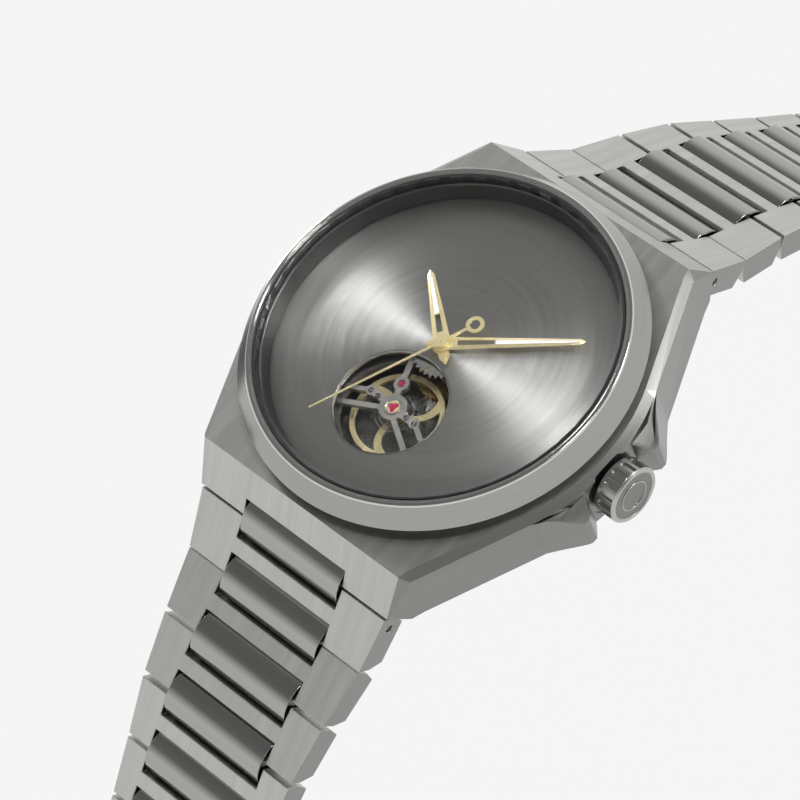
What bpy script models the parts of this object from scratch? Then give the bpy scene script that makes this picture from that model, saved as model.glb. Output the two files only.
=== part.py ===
"""Automatic wristwatch with an open balance window, on an H-link bracelet with a box clasp.

The watch lies dial up: +X points to the crown at 3 o'clock, +Y to 12 o'clock and +Z out of the
dial. The bracelet is undone, and its two legs hang down on either side. The origin is the centre
of the case back's outer face. Every length below is in millimetres, and every angle in degrees;
finish() turns the meshes into metres.
"""

import math

import bmesh
import bpy
from mathutils import Matrix, Vector

MM = 0.001

# Clearances between pieces
FIT = 0.03  # pressed or seated pieces
RUN = 0.06  # pieces that turn or slide on each other
FACETS = 48  # sides of a full turn on large round pieces
FEW_FACETS = 20  # the same on small ones

# Case middle
CASE_RADIUS = 21.2  # flanks at 3 and 9 o'clock
CASE_BOTTOM = 0.9
CASE_TOP = 7.65
SHOULDER_WIDTH = 0.8
SHOULDER_DROP = 1.0
END_Y = CASE_RADIUS - 0.6  # upper edge of the sloping end, on the case top
END_HALF_WIDTH = 13.2
END_TUCK = 0.5  # how far the planform draws in towards the bracelet
CORNER_X = END_HALF_WIDTH + 0.85
CORNER_Y = END_Y - 0.5
END_ANGLE = 58.0  # slope of the end face below the horizontal
END_SLOPE = 5.3  # length of the sloping end, from the case top to the first seam
CRYSTAL_RADIUS = 18.0
BORE_RADIUS = CRYSTAL_RADIUS - 1.0
BACK_SEAT_RADIUS = BORE_RADIUS + 1.05
BACK_SEAT_HEIGHT = 2.1
GUARD_TIP_X = CASE_RADIUS + 1.1
GUARD_TIP_Y = 4.9
GUARD_TIP_WIDTH = 1.0
GUARD_ROOT_X = CASE_RADIUS - 4.5
GUARD_ROOT_Y = 9.4
GUARD_INNER_Y = 3.3
GUARD_BOTTOM = 1.4
GUARD_TIP_TOP = 5.3

# Bezel, crystal and what they hold
BEZEL_FOOT_RADIUS = CRYSTAL_RADIUS + 2.3
BEZEL_FOOT_Z = 8.95
BEZEL_TOP_Z = 11.4
BEZEL_TOP_RADIUS = CRYSTAL_RADIUS + 1.0
BEZEL_EDGE = 0.25
NECK_RADIUS = CRYSTAL_RADIUS + 1.4
CRYSTAL_THICKNESS = 1.35
CRYSTAL_PROUD = 0.2
CRYSTAL_BEVEL = 0.55
GASKET_WIDTH = 0.2
REHAUT_LIP = CRYSTAL_RADIUS - 0.83
REHAUT_MOUTH = CRYSTAL_RADIUS - 0.4
DIAL_TOP = 8.7
DIAL_THICKNESS = 0.4
DIAL_RADIUS = REHAUT_MOUTH
DIAL_FLAT_RADIUS = CRYSTAL_RADIUS - 4.5
DIAL_RIM_DROP = 0.25
WINDOW_RADIUS = 5.83
BALANCE_Y = -7.47  # balance axis, below the dial centre

# Hands
HOUR_ANGLE = 308.8  # clockwise from 12 o'clock
MINUTE_ANGLE = 54.6
SECONDS_ANGLE = 203.8
HOUR_LENGTH = 8.95
MINUTE_LENGTH = 14.15
SECONDS_LENGTH = 14.0
HAND_TAIL = 2.2
SECONDS_TAIL = 4.6
HOUR_WIDTH = 1.75
MINUTE_WIDTH = 1.45
HOUR_Z = 8.95
MINUTE_Z = 9.25
SECONDS_Z = 9.55
HAND_THICKNESS = 0.18
SECONDS_ARBOR = 0.16
CANNON_RADIUS = 0.42
HOUR_PIPE_RADIUS = 0.72

# Movement
PLATE_RADIUS = BORE_RADIUS - 2.8
PLATE_TOP = 7.2
PLATE_BOTTOM = 6.4
PLATE_RIM = 0.6
PLATE_OPENING = 5.5  # radius of the opening over the balance
BRIDGE_TOP = 3.4
BRIDGE_BOTTOM = 2.9
COCK_THICKNESS = 0.55
COCK_ARM = 0.62
BALANCE_RADIUS = 4.75
BALANCE_RIM = 0.6
BALANCE_Z = 5.75
BALANCE_THICKNESS = 0.4
SPRING_TURNS = 4
SPRING_PITCH = 0.42
SPRING_START = 0.5
SPRING_Z = 6.7
SPRING_HEIGHT = 0.16
SPRING_WALL = 0.07
WHEEL_THICKNESS = 0.2
PINION_HEIGHT = 0.4
ARBOR_RADIUS = 0.18
ADDENDUM = 0.7  # tooth height above the pitch circle, in modules
DEDENDUM = 1.3
FOURTH_Z = 3.8
THIRD_Z = 4.2
CENTER_Z = 4.8
BARREL_Z = 5.15
BARREL_HEIGHT = 1.1
BARREL_TEETH = 48
CENTER_TEETH = 48
THIRD_TEETH = 45
FOURTH_TEETH = 60
CENTER_PINION = 8
THIRD_PINION = 6
FOURTH_PINION = 6
ESCAPE_PINION = 6
ESCAPE_TEETH = 15
ESCAPE_RADIUS = 1.9
ESCAPE_Z = 4.32
CANNON_TEETH = 12
MINUTE_WHEEL_TEETH = 36
MINUTE_PINION = 8
HOUR_WHEEL_TEETH = 32
BARREL_DISTANCE = 6.1
BARREL_ANGLE = 45.0
THIRD_DISTANCE = 4.2
THIRD_ANGLE = 150.0
ESCAPE_DISTANCE = 3.3
ESCAPE_ANGLE = -70.0
MINUTE_WHEEL_DISTANCE = 3.85
MINUTE_WHEEL_ANGLE = 60.0
CANNON_Z = 7.3
HOUR_WHEEL_Z = 7.95
ROTOR_RADIUS = PLATE_RADIUS - 1.0
ROTOR_Z = 1.5
ROTOR_WEIGHT = 1.1
ROTOR_WEIGHT_WIDTH = 3.0
ROTOR_HUB = 1.6
ROTOR_POST = 0.6
STAFF_RADIUS = 0.22
ROLLER_RADIUS = 0.5
JEWEL_RADIUS = 0.85

# Case back
GLASS_RADIUS = PLATE_RADIUS
GLASS_THICKNESS = 1.0
BACK_LEDGE = 0.6
BACK_HEIGHT = 1.9

# Crown
CROWN_Z = 4.14
CROWN_BACK = CASE_RADIUS
CROWN_FACE = CROWN_BACK + 2.5
CROWN_RADIUS = 3.0
CROWN_EDGE = 0.25
CROWN_POCKET_SIDE = 0.35
CROWN_POCKET_DEPTH = 0.3
CROWN_SLOTS = 16
CROWN_SLOT_DEPTH = 0.28
CROWN_CAVITY = 1.6
CROWN_PULL = 1.2  # travel of the crown when it is pulled out
TUBE_RADIUS = 1.2
STEM_RADIUS = 0.5
STEM_INNER = CASE_RADIUS - 10.4
STEM_SOCKET = 0.5  # metal left between the stem's end and the crown's face

# Bracelet
LINK_PITCH = 6.72
LINK_THICKNESS = 3.0
LINK_GAP = 0.2  # from the hinge line to the end face of a link
LINK_RELIEF = 24.0  # slope of the end faces below the hinge line
BARREL_HALF = 6.6  # half the length of a centre barrel
NOTCH_SIDE = 0.2
CENTER_RADIUS = 2.3  # half the width of a centre barrel
CENTER_CROWN = 0.45  # how far a barrel stands above the links beside it
CENTER_ARC = 2.6  # radius of its rounded top
NOTCH_RADIUS = CENTER_RADIUS + 0.2
WEB_INSET = 0.6
WEB_START = 1.2
WEB_TOP = -0.1
WEB_BOTTOM = -0.9
FIRST_HALF_WIDTH = 12.6
LAST_HALF_WIDTH = 9.0
TAPER_LINKS = 6
TAPER_POWER = 1.4
LINK_ANGLES = (45.0, 32.0, 36.5, 45.0, 45.0, 45.0, 49.5, 54.0, 58.5, 63.0, 67.5, 72.0)

# Clasp
CLASP_ANGLE = 76.5
BOX_LENGTH = 16.0
TONGUE_LENGTH = 8.0  # of its thick end, up to where the box meets it
TONGUE_REACH = 8.5  # of the thin tongue beyond
TONGUE_HALF = 5.7
TONGUE_THICKNESS = 1.0
CATCH_NOTCH = 1.0  # depth of the tongue's side notches
CATCH_LENGTH = 2.0
BOX_CAVITY_HALF = TONGUE_HALF + 0.3
BOX_CAVITY_HEIGHT = TONGUE_THICKNESS + 0.4
PUSHER_Y = BOX_LENGTH - 4.6
PUSHER_LENGTH = 3.6
PUSHER_HEIGHT = 1.3
PUSHER_PROUD = 0.7
PUSHER_STOP = 0.1


# ---------------------------------------------------------------- mesh helpers


def point_at(radius, degrees):
    angle = math.radians(degrees)
    return radius * math.cos(angle), radius * math.sin(angle)


def mesh_object(name, bm):
    bmesh.ops.recalc_face_normals(bm, faces=bm.faces)
    mesh = bpy.data.meshes.new(name)
    bm.to_mesh(mesh)
    bm.free()
    obj = bpy.data.objects.new(name, mesh)
    bpy.context.collection.objects.link(obj)
    return obj


def turned(name, profile, facets=FACETS, center=(0.0, 0.0)):
    """A closed solid turned from a closed profile of (radius, height) points round the Z axis."""
    bm = bmesh.new()
    rings = []
    for radius, height in profile:
        if radius == 0.0:
            rings.append([bm.verts.new((center[0], center[1], height))])
            continue
        ring = []
        for step in range(facets):
            x, y = point_at(radius, 360.0 * step / facets)
            ring.append(bm.verts.new((center[0] + x, center[1] + y, height)))
        rings.append(ring)
    for index, ring in enumerate(rings):
        other = rings[(index + 1) % len(rings)]
        if len(ring) == 1 and len(other) == 1:
            continue
        for step in range(facets):
            after = (step + 1) % facets
            if len(ring) == 1:
                bm.faces.new((ring[0], other[after], other[step]))
            elif len(other) == 1:
                bm.faces.new((ring[step], ring[after], other[0]))
            else:
                bm.faces.new((ring[step], ring[after], other[after], other[step]))
    return mesh_object(name, bm)


def ring(name, inner, outer, low, high, facets=FACETS, center=(0.0, 0.0)):
    profile = [(inner, low), (outer, low), (outer, high), (inner, high)]
    return turned(name, profile, facets, center)


def loft(name, loops):
    """A closed solid through loops of equally many points, with the first and last one filled."""
    bm = bmesh.new()
    rows = [[bm.verts.new(point) for point in loop] for loop in loops]
    for low, high in zip(rows, rows[1:]):
        for index in range(len(low)):
            after = (index + 1) % len(low)
            bm.faces.new((low[index], low[after], high[after], high[index]))
    bm.faces.new(rows[0][::-1])
    bm.faces.new(rows[-1])
    return mesh_object(name, bm)


def plate(name, outline, low, high):
    """A flat piece: the outline, a list of (x, y) points, extruded from one height to another."""
    return loft(name, [[(x, y, low) for x, y in outline], [(x, y, high) for x, y in outline]])


def strip(name, outline, half_width):
    """The outline, a list of (y, z) points, extruded across the bracelet."""
    return loft(name, [[(side * half_width, y, z) for y, z in outline] for side in (-1.0, 1.0)])


def disc(name, radius, low, high, facets=FACETS, center=(0.0, 0.0)):
    outline = [point_at(radius, 360.0 * step / facets) for step in range(facets)]
    return plate(name, [(center[0] + x, center[1] + y) for x, y in outline], low, high)


def box(name, low, high):
    outline = [(low[0], low[1]), (high[0], low[1]), (high[0], high[1]), (low[0], high[1])]
    return plate(name, outline, low[2], high[2])


def move(obj, matrix):
    obj.data.transform(matrix)
    return obj


def along_x(obj, height):
    """Turns a piece made round the Z axis so that it lies round the stem's line, with +Z along +X."""
    turn = Matrix.Rotation(math.radians(90.0), 4, "Y")
    return move(obj, Matrix.Translation((0.0, 0.0, height)) @ turn)


def combine(base, others, operation):
    """Joins the other solids to the base, or cuts them from it, and deletes them."""
    for other in others:
        modifier = base.modifiers.new(operation, "BOOLEAN")
        modifier.operation = operation
        modifier.solver = "EXACT"
        modifier.object = other
    bpy.context.view_layer.update()
    graph = bpy.context.evaluated_depsgraph_get()
    mesh = bpy.data.meshes.new_from_object(base.evaluated_get(graph))
    base.modifiers.clear()
    base.data = mesh
    for other in others:
        bpy.data.objects.remove(other)
    return base


def cut(base, *others):
    return combine(base, others, "DIFFERENCE")


def fuse(base, *others):
    return combine(base, others, "UNION")


def slice_off(obj, point, normal):
    """Cuts away what lies beyond a plane, and closes the cut."""
    bm = bmesh.new()
    bm.from_mesh(obj.data)
    geometry = bm.verts[:] + bm.edges[:] + bm.faces[:]
    result = bmesh.ops.bisect_plane(
        bm, geom=geometry, dist=1e-6, plane_co=point, plane_no=normal, clear_outer=True
    )
    edges = [item for item in result["geom_cut"] if isinstance(item, bmesh.types.BMEdge)]
    bmesh.ops.edgenet_fill(bm, edges=edges)
    bmesh.ops.recalc_face_normals(bm, faces=bm.faces)
    bm.to_mesh(obj.data)
    bm.free()
    return obj


MATERIALS = {
    "brushed_gunmetal": ((0.30, 0.30, 0.285), 0.38, 1.0),
    "polished_gunmetal": ((0.22, 0.22, 0.21), 0.14, 1.0),
    "dial_gunmetal": ((0.27, 0.27, 0.26), 0.3, 1.0),
    "gold": ((0.86, 0.74, 0.42), 0.2, 1.0),
    "steel": ((0.62, 0.62, 0.6), 0.25, 1.0),
    "bridge_steel": ((0.42, 0.41, 0.38), 0.35, 1.0),
    "plate_dark": ((0.12, 0.12, 0.13), 0.4, 1.0),
    "brass": ((0.78, 0.62, 0.32), 0.3, 1.0),
    "ruby": ((0.55, 0.03, 0.12), 0.05, 0.0),
    "glass": ((0.92, 0.95, 0.96), 0.02, 0.0),
    "rubber": ((0.02, 0.02, 0.02), 0.6, 0.0),
    "holder": ((0.2, 0.2, 0.2), 0.5, 0.0),
}


def material(name):
    found = bpy.data.materials.get(name)
    if found:
        return found
    color, roughness, metallic = MATERIALS[name]
    made = bpy.data.materials.new(name)
    made.use_nodes = True
    shader = made.node_tree.nodes["Principled BSDF"]
    shader.inputs["Base Color"].default_value = (*color, 1.0)
    shader.inputs["Roughness"].default_value = roughness
    shader.inputs["Metallic"].default_value = metallic
    if name == "glass":
        shader.inputs["Transmission Weight"].default_value = 1.0
    return made


def finish(obj, material_name, origin=(0.0, 0.0, 0.0), parent=None):
    """Sets the piece's material, its origin on its own axis, and its size in metres."""
    offset = Vector(origin)
    obj.data.transform(Matrix.Scale(MM, 4) @ Matrix.Translation(-offset))
    obj.data.materials.clear()
    obj.data.materials.append(material(material_name))
    obj.data.shade_smooth()
    obj.data.set_sharp_from_angle(angle=math.radians(32.0))
    obj.location = offset * MM
    if parent is not None:
        obj.parent = parent
        obj.matrix_parent_inverse = Matrix.Translation(-parent.matrix_world.translation)
    bpy.context.view_layer.update()
    return obj


# ---------------------------------------------------------------- case


def case_planform(inset):
    """The case seen from above, with its end corners, and an arc round 3 and 9 o'clock."""
    radius = CASE_RADIUS - inset
    corner_angle = math.degrees(math.atan2(CORNER_Y, CORNER_X))
    half_span = math.degrees(math.acos(CASE_RADIUS / math.hypot(CORNER_X, CORNER_Y)))
    tangent = corner_angle - half_span
    reach = CASE_RADIUS * math.tan(math.radians(half_span))
    start = point_at(radius, tangent)
    along = point_at(reach - inset * 0.4, tangent + 90.0)
    steps = 8
    right = [(END_HALF_WIDTH - END_TUCK - inset * 0.5, hinge_top()[0] + 0.3)]
    right.append((start[0] + along[0], start[1] + along[1]))
    for step in range(steps + 1):
        right.append(point_at(radius, tangent * (1.0 - 2.0 * step / steps)))
    right.append((start[0] + along[0], -start[1] - along[1]))
    right.append((right[0][0], -right[0][1]))
    left = [(-x, y) for x, y in reversed(right)]
    return right + left


def end_slope():
    """Unit vector (y, z) down the sloping end of the case, at 12 o'clock."""
    angle = math.radians(END_ANGLE)
    return math.cos(angle), -math.sin(angle)


def hinge_top():
    """(y, z) of the seam between the case end and the first link, on the outer surface."""
    down = end_slope()
    return END_Y + down[0] * END_SLOPE, CASE_TOP + down[1] * END_SLOPE


def first_hinge():
    """(y, z) of the first hinge line at 12 o'clock, half a link's thickness under the seam."""
    seam = hinge_top()
    angle = math.radians(LINK_ANGLES[0])
    half = LINK_THICKNESS / 2.0
    return seam[0] - half * math.sin(angle), seam[1] - half * math.cos(angle)


def crown_guard(side):
    """The horn that stands beside the crown, side +1 towards 12 o'clock."""
    outline = [
        (GUARD_ROOT_X + 1.0, GUARD_INNER_Y),
        (CASE_RADIUS - 0.2, GUARD_INNER_Y),
        (GUARD_TIP_X, GUARD_TIP_Y - GUARD_TIP_WIDTH / 2.0),
        (GUARD_TIP_X, GUARD_TIP_Y + GUARD_TIP_WIDTH / 2.0),
        (CASE_RADIUS - 1.05, GUARD_ROOT_Y - 1.7),
        (GUARD_ROOT_X + 2.2, GUARD_ROOT_Y),
        (GUARD_ROOT_X, GUARD_ROOT_Y),
    ]
    outline = [(x, side * y) for x, y in outline]
    start = CASE_RADIUS - 1.0
    shoulder = CASE_TOP - SHOULDER_DROP - FIT
    low = []
    high = []
    for x, y in outline:
        share = max(0.0, x - start) / (GUARD_TIP_X - start)
        low.append((x, y, GUARD_BOTTOM))
        high.append((x, y, shoulder + (GUARD_TIP_TOP - shoulder) * share))
    return loft("guard", [low, high])


def middle_case():
    down = end_slope()
    seam = hinge_top()
    outer = case_planform(0.0)
    inner = case_planform(SHOULDER_WIDTH)
    shoulder = CASE_TOP - SHOULDER_DROP
    case = loft(
        "middle_case",
        [
            [(x, y, CASE_BOTTOM) for x, y in outer],
            [(x, y, shoulder) for x, y in outer],
            [(x, y, CASE_TOP) for x, y in inner],
        ],
    )
    for side in (1.0, -1.0):
        slice_off(case, (0.0, side * END_Y, CASE_TOP), (0.0, -side * down[1], down[0]))
        angle = math.radians(LINK_ANGLES[0])
        lower = (0.0, side * math.cos(angle), -math.sin(angle))
        slice_off(case, (0.0, side * (seam[0] - LINK_GAP / 2.0), seam[1]), lower)
        for hand in (1.0, -1.0):
            top = Vector((hand * END_HALF_WIDTH, side * END_Y, CASE_TOP))
            outside = Vector((hand * CORNER_X, side * CORNER_Y, shoulder))
            bottom = Vector((hand * (FIRST_HALF_WIDTH + 0.15), side * seam[0], seam[1]))
            normal = (outside - top).cross(bottom - top)
            if normal.x * hand < 0.0:
                normal.negate()
            slice_off(case, top, normal)
    fuse(case, crown_guard(1.0), crown_guard(-1.0))
    bore = disc("bore", BORE_RADIUS, -1.0, CASE_TOP + 1.0)
    seat = disc("seat", BACK_SEAT_RADIUS, -1.0, BACK_SEAT_HEIGHT)
    tube_hole = disc("tube_hole", TUBE_RADIUS + FIT, 0.0, CASE_RADIUS + 3.0, FEW_FACETS)
    pocket_radius = CROWN_RADIUS + CROWN_POCKET_SIDE
    pocket = disc("pocket", pocket_radius, CROWN_BACK - CROWN_POCKET_DEPTH, CROWN_FACE, 32)
    cut(case, bore, seat, along_x(tube_hole, CROWN_Z), along_x(pocket, CROWN_Z))
    for side in (1.0, -1.0):
        cut(case, barrel_notch(side))
    return finish(case, "brushed_gunmetal")


def barrel_notch(side):
    """The room in the case end for the first centre barrel."""
    hinge = first_hinge()
    half = BARREL_HALF + NOTCH_SIDE
    beyond = LINK_PITCH
    outline = []
    for step in range(11):
        y, z = point_at(NOTCH_RADIUS, 95.0 + 23.0 * step)
        outline.append((hinge[0] + y, hinge[1] + z))
    outline.append((hinge[0] + beyond, hinge[1] - beyond))
    outline.append((hinge[0] + beyond, hinge[1] + beyond))
    return strip("notch", [(side * y, z) for y, z in outline], half)


def bezel():
    ledge = BEZEL_TOP_Z + CRYSTAL_PROUD - CRYSTAL_THICKNESS
    seat = CRYSTAL_RADIUS + GASKET_WIDTH + FIT
    profile = [
        (CRYSTAL_RADIUS, CASE_TOP + FIT),
        (NECK_RADIUS, CASE_TOP + FIT),
        (NECK_RADIUS, BEZEL_FOOT_Z),
        (BEZEL_FOOT_RADIUS, BEZEL_FOOT_Z),
        (BEZEL_TOP_RADIUS, BEZEL_TOP_Z - BEZEL_EDGE),
        (BEZEL_TOP_RADIUS - BEZEL_EDGE, BEZEL_TOP_Z),
        (seat, BEZEL_TOP_Z),
        (seat, ledge),
        (CRYSTAL_RADIUS, ledge),
    ]
    return finish(turned("bezel", profile, 64), "polished_gunmetal")


def crystal():
    top = BEZEL_TOP_Z + CRYSTAL_PROUD
    bottom = top - CRYSTAL_THICKNESS + FIT
    radius = CRYSTAL_RADIUS - FIT
    profile = [
        (0.0, bottom),
        (radius, bottom),
        (radius, top - CRYSTAL_BEVEL / 2.0),
        (radius - CRYSTAL_BEVEL, top),
        (0.0, top),
    ]
    return finish(turned("crystal", profile), "glass")


def crystal_gasket():
    top = BEZEL_TOP_Z - 0.05
    low = BEZEL_TOP_Z + CRYSTAL_PROUD - CRYSTAL_THICKNESS + FIT
    return finish(
        ring("crystal_gasket", CRYSTAL_RADIUS, CRYSTAL_RADIUS + GASKET_WIDTH, low, top), "rubber"
    )


def rehaut_ring():
    """The sloping inner wall between the crystal and the dial."""
    low = DIAL_TOP - DIAL_RIM_DROP + FIT
    high = BEZEL_TOP_Z + CRYSTAL_PROUD - CRYSTAL_THICKNESS
    outer = CRYSTAL_RADIUS - FIT
    profile = [(REHAUT_LIP, low), (outer, low), (outer, high), (REHAUT_MOUTH, high)]
    return finish(turned("rehaut_ring", profile), "dial_gunmetal")


def dial():
    low = DIAL_TOP - DIAL_THICKNESS
    rim = DIAL_TOP - DIAL_RIM_DROP
    hole = HOUR_PIPE_RADIUS + RUN
    profile = [(hole, low), (DIAL_RADIUS, low), (DIAL_RADIUS, rim), (REHAUT_LIP, rim)]
    steps = 5
    for step in range(1, steps + 1):
        share = step / steps
        radius = REHAUT_LIP + (DIAL_FLAT_RADIUS - REHAUT_LIP) * share
        profile.append((radius, rim + DIAL_RIM_DROP * math.sin(math.radians(90.0 * share))))
    profile.append((hole, DIAL_TOP))
    made = turned("dial", profile)
    window = disc("window", WINDOW_RADIUS, 0.0, BEZEL_TOP_Z, 40, (0.0, BALANCE_Y))
    return finish(cut(made, window), "dial_gunmetal")


def case_back():
    opening = GLASS_RADIUS - BACK_LEDGE
    outer = BACK_SEAT_RADIUS - FIT
    seat = GLASS_THICKNESS + FIT
    profile = [
        (GLASS_RADIUS + FIT, 0.0),
        (outer - 0.5, 0.0),
        (outer, 0.5),
        (outer, BACK_HEIGHT),
        (opening, BACK_HEIGHT),
        (opening, seat),
        (GLASS_RADIUS + FIT, seat),
    ]
    finish(turned("case_back_ring", profile), "brushed_gunmetal")
    finish(disc("case_back_glass", GLASS_RADIUS, 0.0, GLASS_THICKNESS), "glass")
    low = BACK_HEIGHT + 0.02
    high = BACK_SEAT_HEIGHT - 0.02
    finish(ring("case_back_gasket", BORE_RADIUS + 0.2, outer - 0.2, low, high), "rubber")


# ---------------------------------------------------------------- movement


def tooth_ring(teeth, pitch_radius, phase, center):
    """Points of a wheel's rim: a tip and a root for each tooth, the first tip at the phase angle."""
    module = 2.0 * pitch_radius / teeth
    tip = pitch_radius + ADDENDUM * module
    root = pitch_radius - DEDENDUM * module
    points = []
    for index in range(teeth):
        angle = phase + 360.0 * index / teeth
        for radius, turn in ((tip, 0.0), (root, 180.0 / teeth)):
            x, y = point_at(radius, angle + turn)
            points.append((center[0] + x, center[1] + y))
    return points


def gear(name, teeth, pitch_radius, phase, center, low, height):
    return plate(name, tooth_ring(teeth, pitch_radius, phase, center), low, low + height)


def wheel_radius(teeth, partner_teeth, distance):
    return distance * teeth / (teeth + partner_teeth)


def gap_phase(angle, teeth):
    """The phase that puts a gap between two teeth at the angle."""
    return angle + 180.0 / teeth


def lower_end():
    return BRIDGE_TOP + RUN


def upper_end():
    return PLATE_BOTTOM - RUN


def arbor(name, radius, low, high, center=(0.0, 0.0)):
    return disc(name, radius, low, high, 12, center)


def going_train():
    """Barrel, centre, third, fourth and escape wheels, in mesh, each with its pinion."""
    axis = (0.0, 0.0)
    barrel_at = point_at(BARREL_DISTANCE, BARREL_ANGLE)
    third_at = point_at(THIRD_DISTANCE, THIRD_ANGLE)
    escape_at = point_at(ESCAPE_DISTANCE, ESCAPE_ANGLE)

    radius = wheel_radius(BARREL_TEETH, CENTER_PINION, BARREL_DISTANCE)
    toothed_z = BARREL_Z + BARREL_HEIGHT - 0.35
    barrel = gear("mainspring_barrel", BARREL_TEETH, radius, BARREL_ANGLE, barrel_at, toothed_z, 0.2)
    drum = disc("drum", radius - 0.6, BARREL_Z, BARREL_Z + BARREL_HEIGHT, 32, barrel_at)
    shaft = arbor("shaft", 0.6, lower_end(), upper_end(), barrel_at)
    finish(fuse(barrel, drum, shaft), "brass", (*barrel_at, BARREL_Z))

    radius = wheel_radius(CENTER_TEETH, THIRD_PINION, THIRD_DISTANCE)
    center = gear("center_wheel", CENTER_TEETH, radius, THIRD_ANGLE, axis, CENTER_Z, WHEEL_THICKNESS)
    pinion_radius = wheel_radius(CENTER_PINION, BARREL_TEETH, BARREL_DISTANCE)
    phase = gap_phase(BARREL_ANGLE, CENTER_PINION)
    pinion = gear("pinion", CENTER_PINION, pinion_radius, phase, axis, toothed_z - 0.1, PINION_HEIGHT)
    tube = arbor("tube", CANNON_RADIUS, CENTER_Z - 0.15, MINUTE_Z - 0.02)
    radius = wheel_radius(CANNON_TEETH, MINUTE_WHEEL_TEETH, MINUTE_WHEEL_DISTANCE)
    cannon = gear("cannon", CANNON_TEETH, radius, MINUTE_WHEEL_ANGLE, axis, CANNON_Z, PINION_HEIGHT)
    fuse(center, pinion, tube, cannon)
    hole = arbor("hole", SECONDS_ARBOR + RUN, CENTER_Z - 1.0, MINUTE_Z + 1.0)
    finish(cut(center, hole), "brass", (0.0, 0.0, CENTER_Z))

    radius = wheel_radius(THIRD_TEETH, FOURTH_PINION, THIRD_DISTANCE)
    toward = THIRD_ANGLE + 180.0
    third = gear("third_wheel", THIRD_TEETH, radius, toward, third_at, THIRD_Z, WHEEL_THICKNESS)
    pinion_radius = wheel_radius(THIRD_PINION, CENTER_TEETH, THIRD_DISTANCE)
    phase = gap_phase(toward, THIRD_PINION)
    low = CENTER_Z - (PINION_HEIGHT - WHEEL_THICKNESS) / 2.0
    pinion = gear("pinion", THIRD_PINION, pinion_radius, phase, third_at, low, PINION_HEIGHT)
    shaft = arbor("shaft", ARBOR_RADIUS, lower_end(), upper_end(), third_at)
    finish(fuse(third, pinion, shaft), "brass", (*third_at, THIRD_Z))

    radius = wheel_radius(FOURTH_TEETH, ESCAPE_PINION, ESCAPE_DISTANCE)
    fourth = gear("fourth_wheel", FOURTH_TEETH, radius, ESCAPE_ANGLE, axis, FOURTH_Z, WHEEL_THICKNESS)
    pinion_radius = wheel_radius(FOURTH_PINION, THIRD_TEETH, THIRD_DISTANCE)
    phase = gap_phase(THIRD_ANGLE, FOURTH_PINION)
    low = THIRD_Z - (PINION_HEIGHT - WHEEL_THICKNESS) / 2.0
    pinion = gear("pinion", FOURTH_PINION, pinion_radius, phase, axis, low, PINION_HEIGHT)
    shaft = arbor("shaft", SECONDS_ARBOR, lower_end(), SECONDS_Z - 0.02)
    finish(fuse(fourth, pinion, shaft), "brass", (0.0, 0.0, FOURTH_Z))

    escape = plate("escape_wheel", escape_outline(escape_at), ESCAPE_Z, ESCAPE_Z + 0.15)
    pinion_radius = wheel_radius(ESCAPE_PINION, FOURTH_TEETH, ESCAPE_DISTANCE)
    phase = gap_phase(ESCAPE_ANGLE + 180.0, ESCAPE_PINION)
    low = FOURTH_Z - (PINION_HEIGHT - WHEEL_THICKNESS) / 2.0
    pinion = gear("pinion", ESCAPE_PINION, pinion_radius, phase, escape_at, low, PINION_HEIGHT)
    shaft = arbor("shaft", ARBOR_RADIUS, lower_end(), CENTER_Z - 0.12, escape_at)
    finish(fuse(escape, pinion, shaft), "steel", (*escape_at, ESCAPE_Z))
    return escape_at


def escape_outline(center):
    """The club teeth of the escape wheel, leaning forward."""
    points = []
    for index in range(ESCAPE_TEETH):
        angle = 360.0 * index / ESCAPE_TEETH
        for share, turn in ((1.0, 0.0), (0.98, 3.0), (0.74, 9.0)):
            x, y = point_at(ESCAPE_RADIUS * share, angle + turn)
            points.append((center[0] + x, center[1] + y))
    return points


def motion_work():
    """The minute wheel and the hour wheel under the dial, which slow the hour hand twelvefold."""
    at = point_at(MINUTE_WHEEL_DISTANCE, MINUTE_WHEEL_ANGLE)
    toward = MINUTE_WHEEL_ANGLE + 180.0
    radius = wheel_radius(MINUTE_WHEEL_TEETH, CANNON_TEETH, MINUTE_WHEEL_DISTANCE)
    phase = gap_phase(toward, MINUTE_WHEEL_TEETH)
    low = CANNON_Z + 0.1
    wheel = gear("minute_wheel", MINUTE_WHEEL_TEETH, radius, phase, at, low, WHEEL_THICKNESS)
    radius = wheel_radius(MINUTE_PINION, HOUR_WHEEL_TEETH, MINUTE_WHEEL_DISTANCE)
    phase = gap_phase(toward, MINUTE_PINION)
    pinion = gear("pinion", MINUTE_PINION, radius, phase, at, low + 0.1, HOUR_WHEEL_Z + 0.2 - low - 0.1)
    shaft = arbor("shaft", 0.3, PLATE_TOP + RUN, low + 0.1, at)
    finish(fuse(wheel, pinion, shaft), "brass", (*at, low))

    radius = wheel_radius(HOUR_WHEEL_TEETH, MINUTE_PINION, MINUTE_WHEEL_DISTANCE)
    wheel = gear("hour_wheel", HOUR_WHEEL_TEETH, radius, MINUTE_WHEEL_ANGLE, (0.0, 0.0), HOUR_WHEEL_Z, 0.18)
    pipe = arbor("pipe", HOUR_PIPE_RADIUS, HOUR_WHEEL_Z, HOUR_Z - 0.02)
    fuse(wheel, pipe)
    hole = arbor("hole", CANNON_RADIUS + RUN, HOUR_WHEEL_Z - 1.0, HOUR_Z + 1.0)
    finish(cut(wheel, hole), "steel", (0.0, 0.0, HOUR_WHEEL_Z))


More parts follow.
